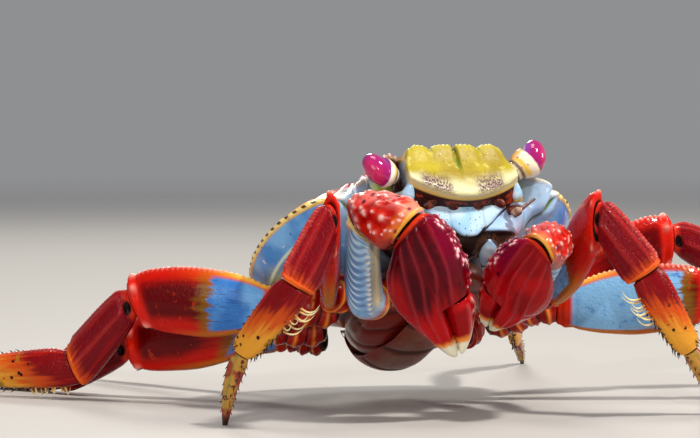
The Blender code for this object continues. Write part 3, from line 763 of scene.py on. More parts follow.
def merusFinish(name):
    f, along, upper, crown, broad, fine = finishWith(name + " broad shell", "along upper crown", 95, 560)
    reach = blueReach[name]
    centre = 0.2 if name == "leg1_left" else 0.92
    paler = 0.75 if name.endswith("left") else 0.0
    streak, thread = f.streaks(2.2, 7.0, reach * 9), f.streaks(7.0, 26.0)
    edge = along + (streak - 0.5) * 0.16 + (thread - 0.5) * 0.07 + (broad - 0.5) * 0.2 + upper * 0.05
    blue = ramp(edge, reach + 0.03, reach - 0.02) * ramp(along, 0.07, 0.11) * ramp(upper, 0.93, 0.8)
    blue = blue * ramp(upper + (streak - 0.5) * 0.4, -0.9, -0.72)
    sky = f.layers(
        (54, 114, 190),
        (ramp(broad, 0.4, 0.62), 104, 164, 222),
        (ramp(fine, 0.2, 0.5) * paler, 140, 194, 232),
        (ramp(thread, 0.58, 0.66) * ramp(edge, reach - 0.3, reach - 0.04), 30, 46, 92))
    olive = ramp(edge, reach + 0.14, reach + 0.03) * ramp(broad, 0.3, 0.5)
    colour = f.layers(
        (188, 18, 6),
        (ramp(streak, 0.5, 0.74) * ramp(along, 0.3, 0.5) * 0.5, 134, 8, 10),
        (ramp(along + streak * 0.2, 0.42, 0.62) * ramp(along, 0.96, 0.86)
         * ramp(abs(upper - 0.1) + broad * 0.6, 1.12, 0.66) * centre, 78, 0, 4),
        (olive * ramp(along, 0.1, 0.16) * 0.8, 128, 92, 24),
        (ramp(upper, 0.55, 0.95) * ramp(along, 0.75, 0.2), 222, 82, 20),
        (ramp(upper, 0.86, 0.98) * ramp(along, 0.46, 0.2), 242, 168, 58),
        (ramp(upper, -0.7, -0.95) * ramp(along, 0.85, 0.4), 184, 104, 28),
        (ramp(along + fine * 0.04, 0.11, 0.06), 206, 44, 12),
        (ramp(along + fine * 0.03, 0.9, 0.95), 204, 26, 10),
        (ramp(fine, 0.62, 0.74) * 0.4, 214, 60, 26),
        (ramp(f.cells(1300), 0.16, 0.04) * 0.6, 92, 4, 10),
        (blue, sky),
        (crown * ramp(along, 0.16, 0.4) * ramp(fine, 0.25, 0.45) * 0.85, 248, 190, 172),
        (crown * ramp(along, 0.4, 0.16) * 0.8, 250, 206, 110))
    height = f.field("ridge") * 0.08 + fine * 0.5 + f.pores(1300) * 0.5
    return f.shell(jointDark(f, colour), height, 0.15, coat=0.3, gloss=0.07)


def carpusFinish(name):
    f, along, upper, crown, fine = finishWith(name + " knee shell", "along upper crown", 620)
    streak = f.streaks(2.0, 6.0)
    colour = f.layers(
        (112, 5, 18),
        (ramp(streak, 0.48, 0.72) * 0.8, 160, 12, 12),
        # painted highlight: lighter red along the ridges
        (f.field("ridge") * 0.5, 186, 28, 24),
        (ramp(along + streak * 0.3, 0.95, 1.15), 216, 74, 22),
        (ramp(along, 0.93, 0.97), 226, 96, 30),
        (ramp(along, 0.1, 0.03), 196, 40, 20),
        # painted highlight: pinker along the top edge
        (ramp(upper, 0.9, 1.0) * 0.5, 206, 60, 48),
        (crown * ramp(fine, 0.4, 0.6) * 0.5, 226, 130, 124),
        (ramp(f.cells(1400), 0.16, 0.04) * 0.6, 60, 0, 12),
        (ramp(f.field("hole"), 0.3, 0.6), 24, 8, 8))
    height = fine * 0.6 + f.pores(1400) * 0.6 + ramp(f.streaks(42.0, 3.0), 0.44, 0.58) * 0.6
    return f.shell(jointDark(f, colour), height, 0.15, coat=wetEdges(f), gloss=0.1)


def propodusFinish(name):
    f, along, upper, crown, fine, broad = finishWith(name + " shank shell", "along upper crown", 640, 210)
    streak = f.streaks(2.4, 6.0, 3.0)
    far = along + (streak - 0.5) * 0.5 - upper * 0.16
    colour = f.layers(
        (122, 8, 16),
        (ramp(streak, 0.5, 0.66), 164, 22, 14),
        (ramp(far, 0.26, 0.5), 198, 74, 20),
        (ramp(far, 0.5, 0.8), 216, 148, 46),
        (ramp(broad, 0.6, 0.68) * ramp(along, 0.35, 0.6), 150, 110, 30),
        (ramp(f.cells(420), 0.24, 0.14) * ramp(fine, 0.38, 0.48) * ramp(along, 0.25, 0.5), 40, 14, 10),
        (f.field("ridge") * 0.85, 44, 16, 12),
        (crown * ramp(along, 0.8, 0.4) * 0.6, 236, 150, 140))
    return f.shell(jointDark(f, colour), fine * 0.6 + f.pores(1400) * 0.6, 0.15,
                   coat=wetEdges(f), gloss=0.1)


def dactylFinish():
    f, along, fine, broad = finishWith("foot shell", "along", 640, 230)
    streak = f.streaks(2.0, 5.0, 6.0)
    colour = f.layers(
        (148, 40, 16),
        (ramp(broad, 0.44, 0.56), 182, 132, 48),
        (f.field("ridge") * ramp(streak, 0.35, 0.5), 116, 124, 52),
        (ramp(fine, 0.58, 0.66), 84, 20, 14),
        (f.field("crown") * 0.7, 58, 18, 14),
        (ramp(along, 0.8, 0.95), 46, 18, 12))
    return f.shell(jointDark(f, colour), fine, 0.14, (0.3, 0.45), 0.5)


hipFinish, footFinish = coxaFinish(), dactylFinish()
legs = {}
for legName in legPose:
    legs[legName] = legSurfaces(legName)
    finishes = (hipFinish, merusFinish(legName), carpusFinish(legName), propodusFinish(legName), footFinish)
    for (part, made), finish in zip(legs[legName].items(), finishes):
        settle(made["piece"], finish, "leg_" + part, f"{legName}_{part}")
print("legs made")


# claws
clawPose = {"claw_right": ((46, -7), (59, 72.6), (118, -7), (-158, -62)),
            "claw_left": ((90, -7), (65, 46), (131, -2), (-99, -41))}
# lengths of upper arm, forearm, wrist and hand, girth, and the hand's turn about its own length
clawSize = {"claw_right": ((9.5, 19.6, 13.7, 32.0), 1.0, 35.0),
            "claw_left": ((9.5, 17.0, 12.8, 27.5), 0.86, -40.0)}
shoulder = (14.0, 12.0, -18.0)
finger = {"root": 0.605, "length": 0.385, "tuck": 0.55}   # shares of the hand, and mm inside it
clawTables = {
    "arm": ((0.0, 3.4, 3.2, 3.4), (0.18, 3.9, 3.7, 3.8), (0.36, 4.4, 4.2, 4.0), (0.55, 5.4, 4.4, 4.0),
            (0.8, 5.4, 4.2, 3.8), (0.95, 4.4, 3.6, 3.4), (1.0, 3.6, 3.2, 3.0)),
    "wrist": ((0.0, 3.6, 3.4, 3.2), (0.25, 5.8, 5.2, 4.8), (0.55, 6.6, 5.8, 5.4), (0.85, 5.6, 4.8, 5.0),
              (1.0, 4.2, 3.6, 4.2)),
    "palm": ((0, 3.8, 3.8, 3.2, 0), (0.07, 6.2, 6.2, 4.4, 0), (0.2, 8.2, 8.2, 5.4, 0),
             (0.36, 9, 9.2, 5.9, 0), (0.5, 8.2, 8.7, 5.6, 0), (0.58, 7.2, 7.8, 5.1, 0),
             (0.6, 1, 7.2, 5, -0.6), (0.74, 1.2, 5, 3.9, -0.9), (0.88, 1.3, 2.6, 2.5, -1.1),
             (0.97, 1, 1.4, 1.4, -1), (1, 0.5, 0.7, 0.7, -0.8)),
    "finger": ((0.0, 3.6, 3.0, 3.9, 3.6), (0.12, 3.8, 3.1, 4.0, 3.6), (0.4, 3.0, 2.9, 3.2, 3.3),
               (0.72, 1.9, 1.8, 2.1, 2.3), (0.93, 1.0, 0.9, 1.1, 1.2), (1.0, 0.5, 0.45, 0.5, 0.8)),
}
# warts of a claw piece: how many, between which shares and turns, radius, height, the piece's length and
# girth in mm, and the seed
wartRows = {"wrist": (58, (0.14, 0.9), (-110, 130), (0.6, 1.25), (0.3, 0.75), 13.0, 5.6, 11),
            "palm": (54, (0.07, 0.54), (-42, 34), (0.5, 1.05), (0.25, 0.7), 32.0, 8.0, 23),
            "finger": (14, (0.06, 0.4), (-40, 60), (0.35, 0.55), (0.15, 0.3), 12.0, 3.2, 31)}


# Scattered rounded warts: each adds height * exp(-(distance / radius)^2), distance in mm along and round.
def warts(share, turn, rowName):
    count, *limits, length, girth, seed = wartRows[rowName]
    rng = np.random.default_rng(seed)
    shares, turns, radii, heights = (rng.uniform(*pair, count)[:, None, None] for pair in limits)
    gap = (turn - turns + 180.0) % 360.0 - 180.0
    distance = ((share - shares) * length) ** 2 + (np.radians(gap) * girth) ** 2
    each = np.exp(-distance / radii ** 2)
    return np.max(each * heights, axis=0), np.max(each, axis=0)


# raised curved lines round the forearm, a white beaded keel and a hollowed inner face
def armRelief(share, turn):
    lines = knobs(share + 0.3 * np.cos(np.radians(turn - 178)), 19, 2.0) * near(turn, 62, 212)
    lines = lines * window(share, 0.3, 0.4, 0.93, 0.99)
    outer = ease(share, 0.3, 0.5)
    keel = near(turn, 9, 152) * ease(share, 0.25, 0.4)
    beads = keel * knobs(share, 26, 1.2)
    upper = near(turn, 16, 0) * knobs(share, 22, 1.2) * outer
    rims = bells(share, 0.03, 0.07, 0.2) + bell(share, 0.975, 0.02)
    hollow = near(turn, 16, 118) * outer
    relief = 0.03 * lines + 0.4 * keel + 0.22 * beads + 0.3 * upper + 0.3 * rims - 0.4 * hollow
    return relief, {"crown": np.clip(beads + upper, 0, 1), "ridge": lines, "face": near(turn, 24, 118)}


# warts, a rim at each end and three spines
def wristRelief(share, turn):
    height, top = warts(share, turn, "wrist")
    length = wartRows["wrist"][5]
    rims = bell(share, 0.97, 0.022) + 0.7 * bell(share, 0.03, 0.02)
    spine = 1.7 * bell(share * length, 0.86 * length, 0.8) * near(turn, 9, 92)
    spine = spine + 0.8 * bell(share * length, 0.8 * length, 0.6) * near(turn, 7, 62, 36)
    relief = height + 0.4 * rims + spine + 0.25 * near(turn, 12, 150) * ease(share, 0.1, 0.3)
    return relief, {"crown": top, "ridge": np.clip(spine / 1.2, 0, 1)}


# height over the hand's middle line, for a girth of 1
def handLevel(share, turn):
    rows = np.array(clawTables["palm"], float)
    sizes = throughRows(rows[:, 0], rows[:, 1:], share[:, 0])
    return sectionPoints(sizes[:, :3], turn[0], 2.2)[1] + sizes[:, 3:4]


# share of the length and height of each ridge on the hand's faces
palmRidges = (((0.0, 3.4), (0.3, 4.1), (0.6, 2.4), (1.0, 2.2)),
              ((0.0, 0.8), (0.3, 1.3), (0.6, -1.1), (0.8, -1.1), (1.0, -0.6)),
              ((0.0, -1.6), (0.3, -2.0), (0.6, -3.6), (0.8, -2.9), (1.0, -0.9)),
              ((0.0, -3.2), (0.3, -5.2), (0.6, -5.9), (0.8, -4.3), (1.0, -1.2)))


# four fine ridges drawn together towards the tip, warts over the top and teeth in the gap
def palmRelief(share, turn):
    height, top = warts(share, turn, "palm")
    level, side = handLevel(share, turn), np.sin(np.radians(turn))
    face = ease(side, 0.05, 0.4) + 0.5 * ease(-side, 0.05, 0.4)
    lines = 0.0
    for k, path in enumerate(palmRidges):
        keys, levels = np.array(path).T
        band = bell(level, throughRows(keys, levels, share[:, 0])[:, None], 0.42)
        lines = lines + band * (ease(share, 0.96, 0.8) if k else ease(share, 0.62, 0.54))
    lines = lines * face * ease(share, 0.03, 0.1)
    swell = (1 - lines) * face * bell(level, -0.6, 5.0) * window(share, 0.05, 0.2, 0.4, 0.6)
    grains = knobs(share, 44, 1.0)
    row = (near(turn, 7, 27) + 0.8 * near(turn, 7, -20)) * knobs(share, 17, 1.2)
    row = row * window(share, 0.06, 0.12, 0.52, 0.58)
    height, top = np.maximum(height, 0.85 * row), np.maximum(top, row)
    keel = near(turn, 9, 180) * window(share, 0.05, 0.2, 0.85, 0.98)
    teeth = near(turn, 28, 0) * knobs(share, 26, 1.0) * window(share, 0.6, 0.64, 0.94, 0.98)
    relief = (height * (1 - 0.5 * lines) + (0.5 + 0.17 * grains) * lines + 0.3 * swell
              + (0.28 + 0.12 * grains) * keel + 0.5 * teeth + 0.3 * bell(share, 0.02, 0.015))
    crown, ridge = np.clip(top + teeth, 0, 1), np.clip(lines + 0.5 * keel, 0, 1)
    return relief, {"crown": crown, "ridge": ridge, "level": level / 8}


def fingerRelief(share, turn):
    height, top = warts(share, turn, "finger")
    length = window(share, 0.03, 0.12, 0.86, 0.98)
    ridges = near(turn, 9, 0, 62, -62, 112) * length
    teeth = near(turn, 26, 180) * knobs(share, 11, 1.0) * length
    crown = np.clip(top * 0.8 + teeth, 0, 1)
    return height + 0.22 * ridges + 0.4 * teeth, {"crown": crown, "ridge": ridges}


clawLooks = {
    "wrist": {"counts": (96, 104), "relief": wristRelief, "power": 2.2},
    "palm": {"counts": (200, 150), "relief": palmRelief, "power": 2.2, "ending": "tip", "reach": 3.0},
    "finger": {"counts": (96, 72), "relief": fingerRelief, "power": 2.1, "ending": "tip"},
}


arm = {"rings": 130, "around": 96, "power": 2.2, "heldBack": 7.0}   # held back in mm at its root


# The arm turns an elbow close to the body: its rings follow a bent line, and those that would pass the
# wrist's plane are held back from it.
def armSurface(name, points, after, girth, sign):
    first, second = points[1] - points[0], points[2] - points[1]
    bend = np.linalg.norm(first) / (np.linalg.norm(first) + np.linalg.norm(second))
    share, scale, push, inside, fade = ringsOf("cup", arm["rings"])
    s = share[:, None]
    turns = np.arange(arm["around"]) * 360.0 / arm["around"]
    rows = np.array(clawTables["arm"], float)
    sizes = throughRows(rows[:, 0], rows[:, 1:] * girth, share)
    across, upward = sectionPoints(sizes * scale[:, None], turns, arm["power"])
    swing = ease(s, bend - 0.25, bend + 0.2)
    along = unit(unit(first) * (1 - swing) + unit(second) * swing)
    centre = throughRows((0.0, bend, 1.0), np.array(points[:3]), share, steady=False)
    axes = limbAxes(along)
    offset = across[..., None] * axes[:, None, :, 1] + upward[..., None] * axes[:, None, :, 2]
    relief, fields = armRelief(s, sign * turns[None, :])
    grid = centre[:, None] + offset + unit(offset) * (relief * fade)[..., None]
    ahead = unit(second)
    cut = cutPlane(after, ahead)
    beyond = (grid - points[2]) @ cut + body["jointGap"] + (1 - s) * arm["heldBack"]
    beyond = np.where(s == 1, beyond, np.maximum(beyond, 0.0))
    grid = grid - ahead * (beyond / (ahead @ cut))[..., None] + along[:, None] * push[:, None, None]
    return {"piece": closedSurface(name, grid, limbFields(fields, share, turns, inside, sign))}


def clawSurfaces(name):
    side = sides[name.split("_")[1]]
    lengths, girth, roll = clawSize[name]
    points = chain(bodyToRow((side * shoulder[0], *shoulder[1:])), lengths, clawPose[name], side)
    steps = np.diff(np.array(points), axis=0)
    along = unit(steps[3])
    reach = halfGap(cutPlane(steps[2], along), along) + lengths[3] * finger["root"] - finger["tuck"]
    root = points[3] + along * reach
    tip = root + along * (lengths[3] * finger["length"] + finger["tuck"])
    bones = {"wrist": {"start": points[2], "end": points[3], "before": steps[1], "after": steps[3]},
             "palm": {"start": points[3], "end": points[4], "before": steps[2]},
             "finger": {"start": root - along * body["jointGap"] / 2, "end": tip}}
    made = {"arm": armSurface(name + "_arm_shell", points, steps[2], 0.5 + girth / 2, -side)}
    for part, bone in bones.items():
        bone["frontSign"] = -side
        look = dict(clawLooks[part], roll=0.0 if part == "wrist" else roll)
        made[part] = limbPiece(f"{name}_{part}_shell", bone, clawTables[part], girth, look)
    return made


def armFinish():
    f, along, upper, crown, lines, face, fine, broad = finishWith(
        "claw arm shell", "along upper crown ridge face", 560, 120)
    colour = f.layers(
        (112, 158, 210),
        (ramp(broad, 0.4, 0.62), 156, 200, 238),
        (ramp(lines, 0.6, 0.85), 244, 248, 244),
        (ramp(lines, 0.2, 0.04) * ramp(along, 0.34, 0.42) * ramp(upper, 0.2, -0.2) * 0.5, 52, 76, 124),
        (face * ramp(along, 0.3, 0.42), 232, 220, 176),
        (face * ramp(f.cells(420), 0.14, 0.06), 50, 26, 22),
        (ramp(upper, 0.35, 0.8) * ramp(along, 0.3, 0.6), 176, 30, 16),
        (crown * 0.9, 244, 238, 220),
        (ramp(along, 0.34, 0.24), 206, 80, 26),
        (ramp(along + broad * 0.1, 0.24, 0.14), 168, 24, 12),
        (hump(along, 0.2, 0.05), 240, 176, 80),
        (ramp(along, 0.93, 0.97), 240, 224, 150))
    return f.shell(jointDark(f, colour), fine, 0.12)


def wristFinish(name):
    f, along, crown, upper, fine, broad = finishWith(name + " wrist shell", "along crown upper", 520, 150)
    # how far the gold rim reaches back, and how strong the painted pink highlights on the top and the warts
    # are
    golden, pinkSheen = (0.06, 0.4) if name.endswith("left") else (0.0, 1.0)
    colour = f.layers(
        (162, 8, 10),
        (ramp(broad, 0.42, 0.6), 208, 34, 16),
        (ramp(along + broad * 0.3, 0.9 + golden, 1.08 + golden), 232, 112, 30),
        (ramp(along, 0.93 + golden / 3, 0.97 + golden / 3), 244, 176, 66),
        (ramp(along + fine * 0.1, 0.16, 0.06), 120, 14, 26),
        # painted highlight: a pale pink wash over the top
        (ramp(upper + broad * 0.5, 0.7, 1.15) * ramp(fine, 0.36, 0.5) * 0.5 * pinkSheen, 238, 150, 142),
        (ramp(f.cells(260), 0.26, 0.13) * ramp(fine, 0.4, 0.5), 84, 8, 44),
        # painted highlight: pink and then near white on the warts' tops
        (ramp(crown, 0.4, 0.85) * ramp(fine, 0.3, 0.5) * 0.5 * pinkSheen, 232, 110, 96),
        (ramp(crown, 0.72, 1.0) * ramp(fine, 0.34, 0.5) * 0.8, 250, 212, 206),
        (ramp(upper, -0.2, -0.7), 176, 50, 34),
        (f.field("ridge"), 246, 232, 200))
    return f.shell(jointDark(f, colour), fine, 0.14, (0.12, 0.24), wetEdges(f), gloss=0.2)


# the first claw's hand is maroon, the other's crimson
def palmFinish(name):
    f, along, level, ridge, crown, fine, broad = finishWith(
        name + " hand shell", "along level ridge crown", 560, 110)
    streak = f.streaks(3.0, 7.0, 5.0)
    bright = name.endswith("left")
    colour = f.layers(
        (128, 2, 8) if bright else (66, 0, 12),
        (ramp(broad + streak * 0.4, 0.62, 0.9), *((168, 6, 12) if bright else (98, 2, 14))),
        (ramp(level + fine * 0.3, 0.45, 0.8) * ramp(along, 0.5, 0.2), 116, 6, 40),
        (ramp(along + streak * 0.4, 0.62, 0.92), 178, 6, 12),
        (ramp(level + broad * 0.3, -0.5, -0.85) * ramp(along, 0.1, 0.3) * 0.8, 166, 6, 14),
        (ramp(f.cells(300), 0.22, 0.1) * ramp(level, 0.3, 0.6) * ramp(along, 0.55, 0.5), 52, 0, 34),
        (ramp(along + fine * 0.02, 0.06, 0.025), 206, 50, 22),
        (ridge * ramp(along, 0.95, 0.6) * 0.7, 176, 26, 44),
        (ramp(ridge, 0.55, 0.95) * ramp(along, 0.85, 0.5) * ramp(fine, 0.3, 0.52) * 0.8, 226, 124, 142),
        (ramp(crown, 0.35, 0.8) * ramp(along, 0.6, 0.54) * 0.5, 206, 70, 92),
        # painted highlight: near-white centres on the knobs' tops
        (ramp(crown, 0.68, 1.0) * ramp(along, 0.6, 0.54) * ramp(fine, 0.25, 0.45) * 0.9, 250, 216, 216),
        (ramp(along + fine * 0.05, 0.85, 0.9), 236, 140, 54),
        (ramp(along + fine * 0.04, 0.885, 0.925), 240, 234, 206),
        # painted shade: the teeth in the gap between the fingers are dark
        (crown * ramp(along, 0.6, 0.64) * 0.9, 44, 10, 12))
    colour = f.layers(colour, (f.field("inside"), 104, 10, 8))
    height = fine * 0.5 + f.pores(1100, 0.5) * 0.3
    return f.shell(colour, height, 0.13, (0.12, 0.22), wetEdges(f), 0.04, 0.08)


def fingerFinish(name):
    f, along, crown, ridge, fine, broad = finishWith(name + " finger shell", "along crown ridge", 560, 120)
    colour = f.layers(
        (148, 4, 12),
        (ramp(broad, 0.42, 0.6), 186, 10, 14),
        (ridge * 0.5, 216, 60, 64),
        # painted highlight: pale tops on the warts of the upper side
        (crown * ramp(f.field("upper"), 0.2, 0.6) * 0.8, 242, 190, 180),
        (ramp(along + fine * 0.08, 0.66, 0.76), 236, 138, 52),
        (ramp(along + fine * 0.06, 0.76, 0.84), 240, 234, 206),
        # painted shade: the teeth below, in the gap between the fingers, are dark
        (crown * ramp(f.field("upper"), -0.2, -0.6), 44, 10, 12))
    return f.shell(jointDark(f, colour), fine, 0.12, (0.12, 0.22), wetEdges(f), 0.04, 0.1)


forearmFinish = armFinish()
for clawName in clawPose:
    finishes = (forearmFinish, wristFinish(clawName), palmFinish(clawName), fingerFinish(clawName))
    for (part, made), finish in zip(clawSurfaces(clawName).items(), finishes):
        settle(made["piece"], finish, "claw_" + part, f"{clawName}_{part}")
print("claws made")


# head
# middle of each eye in the body's frame, and its lean outwards in degrees
eyes = {"left": ((19.4, 33.2, 4.3), 12.0), "right": ((-18.4, 33.4, 1.4), -32.0)}
eyeSize = {"width": 5.4, "length": 8.6, "fuller": 0.04, "rings": 50, "around": 72}
stalk = {"root": (13.6, 31.4, 0.6), "intoEye": 1.15}
stalkTable = ((0.0, 1.7, 1.7, 1.6), (0.25, 2.3, 2.3, 2.1), (0.55, 3.2, 3.4, 2.7), (0.85, 3.7, 3.9, 2.95),
              (1.0, 3.4, 3.5, 2.6))


def eyeAxis(tilt):
    return bodyDirection((math.sin(tilt), 0.0, math.cos(tilt)))


# an ellipsoid stood on its long axis, slightly fuller outwards
def eyeSurface(sideName):
    middle, lean = bodyToRow(eyes[sideName][0]), eyes[sideName][1]
    tilt, outward = math.radians(lean), math.copysign(1.0, lean)
    axis = eyeAxis(tilt)
    outer = unit(bodyDirection((math.cos(tilt), 0.55 * outward, -math.sin(tilt))) * outward)
    beside = np.cross(axis, outer)
    rise = np.linspace(0.03, 0.97, eyeSize["rings"])[:, None] * np.pi
    turn = np.linspace(0, 2 * np.pi, eyeSize["around"], endpoint=False)[None, :]
    ring = np.sin(rise) * eyeSize["width"] / 2 * (1.0 + eyeSize["fuller"] * np.cos(turn))
    axis = axis * eyeSize["length"] / 2
    grid = (middle + axis * np.cos(rise)[..., None] + outer * (ring * np.cos(turn))[..., None]
            + beside * (ring * np.sin(turn))[..., None])
    poles = [middle + axis, middle - axis]
    fields = {"outward": np.sin(rise) * np.cos(turn), "height": np.cos(rise)}
    return closedSurface("eye_" + sideName + "_cornea", grid, fields, poles)


# smooth glassy cornea: magenta over crimson, violet towards its edge, fine facets
def eyeFinish():
    f, outward, height, cloud = finishWith("eye cornea", "outward height", 260)
    colour = f.layers(
        (152, 22, 98),
        (ramp(outward + cloud * 0.5, 0.75, 1.25), 190, 34, 94),
        (ramp(cloud, 0.52, 0.66) * 0.5, 190, 50, 130),
        (ramp(abs(height) + cloud * 0.2, 0.84, 1.08), 120, 34, 128),
        (ramp(outward + cloud * 0.3, 0.2, -0.25), 140, 56, 160),
        (ramp(outward + cloud * 0.2, -0.42, -0.6), 214, 190, 214))
    return f.shell(colour, f.cells(3800), 0.008, (0.1, 0.16), 1.0, 0.02)


def stalkRelief(share, turn):
    swell = bell(share, 0.5, 0.12) * near(turn, 30, 0)
    rim = bell(share, 0.94, 0.035)
    return 0.16 * swell + 0.22 * rim - 0.2 * bell(share, 0.32, 0.05), {"crown": rim, "ridge": swell}


stalkLook = {"counts": (70, 64), "relief": stalkRelief, "power": 2.0, "ending": "flat"}


def stalkSurface(sideName):
    side, (middle, lean) = sides[sideName], eyes[sideName]
    start, centre = bodyToRow((side * stalk["root"][0], *stalk["root"][1:])), bodyToRow(middle)
    bone = {"start": start, "end": centre - unit(centre - start) * stalk["intoEye"], "frontSign": -side,
            "hint": eyeAxis(math.radians(lean))}
    return limbPiece("eyestalk_" + sideName + "_shell", bone, stalkTable, 1.0, stalkLook)["piece"]


def stalkFinish():
    f, along, upper, front, fine, broad = finishWith("eyestalk shell", "along upper front", 620, 230)
    colour = f.layers(
        (232, 222, 196),
        (ramp(broad, 0.46, 0.62), 240, 236, 226),
        (ramp(upper + broad * 0.6, 0.5, 1.0) * ramp(along, 0.2, 0.5), 226, 156, 44),
        (hump(along, 0.5, 0.2) * ramp(broad, 0.36, 0.5) * ramp(front, -0.2, 0.5), 232, 184, 42),
        (hump(along, 0.3, 0.12), 110, 84, 34),
        (ramp(along, 0.2, 0.08), 84, 26, 20),
        (ramp(fine, 0.62, 0.7) * 0.7, 128, 60, 84),
        (ramp(along + fine * 0.06, 0.93, 0.98), 150, 60, 130))
    return f.shell(colour, fine, 0.08, (0.2, 0.32), 0.8)


corneaFinish, bulbFinish = eyeFinish(), stalkFinish()
for sideName in eyes:
    settle(eyeSurface(sideName), corneaFinish, "cornea", "eye_" + sideName)
    settle(stalkSurface(sideName), bulbFinish, "eyestalk", "eyestalk_" + sideName)
print("eyes made")


# mouth
mouth = {"half": 9.9, "top": -7.7, "forward": 33.7, "thick": 0.7, "lean": 0.1, "rings": 110, "around": 56}
# distance from the middle, and the plate's lower edge there
plateEdge = ((0, -15.4), (1.5, -15.2), (2.8, -14.3), (3.6, -13.4), (4.4, -13.1), (6, -12), (8, -10),
             (9.9, -8.4))


# The plate over the mouth: upright rounded sections from one wing to the other, its lower edge drawn down
# to a tongue between two notches.
def mouthPlate():
    left = np.linspace(-mouth["half"], mouth["half"], mouth["rings"])[:, None]
    edge = np.array(plateEdge)
    low = throughRows(edge[:, 0], edge[:, 1:], np.abs(left[:, 0]))
    high = mouth["top"] - 0.5 * (left / mouth["half"]) ** 2 + 0.25 * bell(np.abs(left), 5.0, 1.6)
    turn = np.linspace(0, 2 * np.pi, mouth["around"], endpoint=False)
    level = (high + low) / 2 + (high - low) / 2 * squared(np.cos(turn), 0.8)
    thick = mouth["thick"] * (1 + 0.35 * bell(level, high - 0.5, 0.5))
    hollow = 0.16 * bell(np.abs(left), 4.0, 1.1) + 0.012 * left ** 2
    lean = (level - mouth["top"]) * mouth["lean"]
    forward = mouth["forward"] + lean + thick * squared(np.sin(turn), 0.6) - hollow
    grid = np.stack([left + 0 * turn, forward, level], -1)
    fields = {"across": left / mouth["half"], "level": (high - level) / 8.0}
    return closedSurface("mouth_plate", bodyToRow(grid), fields)


def mouthPlateFinish():
    f, across, level, fine, broad = finishWith("mouth plate", "across level", 560, 170)
    dots = f.cells(1.0, f.vector(across * 15, level * 12, 0.0))
    rows = ramp(wave(across * 47), 0.2, 0.8)
    colour = f.layers(
        (150, 198, 232),
        (ramp(broad, 0.44, 0.62), 186, 218, 240),
        (ramp(level, 0.14, 0.02), 224, 232, 236),
        (ramp(dots, 0.3, 0.16) * rows * ramp(level, 0.12, 0.2), 34, 30, 44),
        (hump(abs(across), 0.4, 0.05) * 0.3, 96, 126, 160))
    return f.shell(colour, fine, 0.08, (0.3, 0.44), 0.6)


def jawRelief(share, turn):
    grooves = bell(share + 0.1 * np.cos(np.radians(turn - 60)), 0.36, 0.03)
    keel = near(turn, 14, 70, 290)
    return 0.18 * keel - 0.3 * grooves, {"crown": keel, "ridge": grooves}


def jawFinish():
    f, along, groove, fine, broad = finishWith("mouthpart shell", "along ridge", 560, 200)
    streak = f.streaks(3.0, 9.0)
    colour = f.layers(
        (150, 186, 216),
        (ramp(broad, 0.42, 0.6), 196, 216, 226),
        (ramp(streak, 0.56, 0.66) * ramp(along, 0.8, 0.5) * 0.8, 96, 60, 44),
        (ramp(abs(f.field("front")), 0.86, 0.98), 72, 50, 50),
        (groove * 0.9, 60, 34, 34))
    return f.shell(colour, fine, 0.08, (0.25, 0.4), 0.5)


def feelerRelief(share, turn):
    ringed = knobs(share, 16, 1.0) * ease(share, 0.35, 0.45) + 0 * turn
    return 0.07 * ringed, {"crown": ringed}


def feelerFinish(name, longer):
    f, along, crown, fine = finishWith(name, "along crown", 600)
    colour = f.layers(
        (66, 20, 12),
        (ramp(fine, 0.5, 0.64), 128, 52, 28),
        (ramp(along, 0.3, 0.2) * longer, 150, 128, 110),
        (ramp(crown, 0.6, 0.2) * ramp(along, 0.38, 0.46) * longer, 74, 44, 44),
        (ramp(along, 0.36, 0.44) * longer * ramp(crown, 0.2, 0.6), 132, 110, 112),
        (ramp(along, 0.42, 0.36) * longer,
         f.blend(ramp(fine, 0.4, 0.6), tint(104, 66, 56), tint(156, 128, 112))))
    return f.shell(colour, fine, 0.06, (0.25, 0.4), 0.6)


def socketToothFinish():
    f, along, fine = finishWith("socket tooth shell", "along", 560)
    colour = f.layers(
        (158, 200, 232),
        (ramp(along + fine * 0.2, 0.4, 0.2), 206, 176, 70),
        (ramp(fine, 0.5, 0.66), 204, 222, 238))
    return f.shell(colour, fine, 0.08, (0.3, 0.44), 0.7)


jawTable = ((0, 0.8, 1, 0.7), (0.3, 1.5, 1.8, 1.5), (0.64, 1.8, 2, 2.3), (0.86, 1.3, 1.5, 1.7),
            (1, 0.35, 0.4, 0.5))
feelerTable = ((0, 0.9, 0.9, 0.9), (0.25, 1, 1, 1), (0.4, 0.5, 0.5, 0.5), (1, 0.27, 0.27, 0.27))
smallTable = ((0, 0.9, 0.9, 0.8), (0.3, 1.25, 1.25, 1), (0.6, 1, 1, 0.8), (1, 0.45, 0.45, 0.4))
jawLook = {"counts": (64, 44), "relief": jawRelief, "power": 2.2, "ending": "tip"}
feelerLook = {"counts": (70, 20), "relief": feelerRelief, "power": 2.0, "ending": "tip"}
mouthFinish, toothFinish = jawFinish(), socketToothFinish()
wispFinish, budFinish = feelerFinish("feeler shell", 1.0), feelerFinish("small feeler shell", 0.0)
bud = (smallTable, 0.9, dict(feelerLook, counts=(40, 24)), budFinish, "feeler")
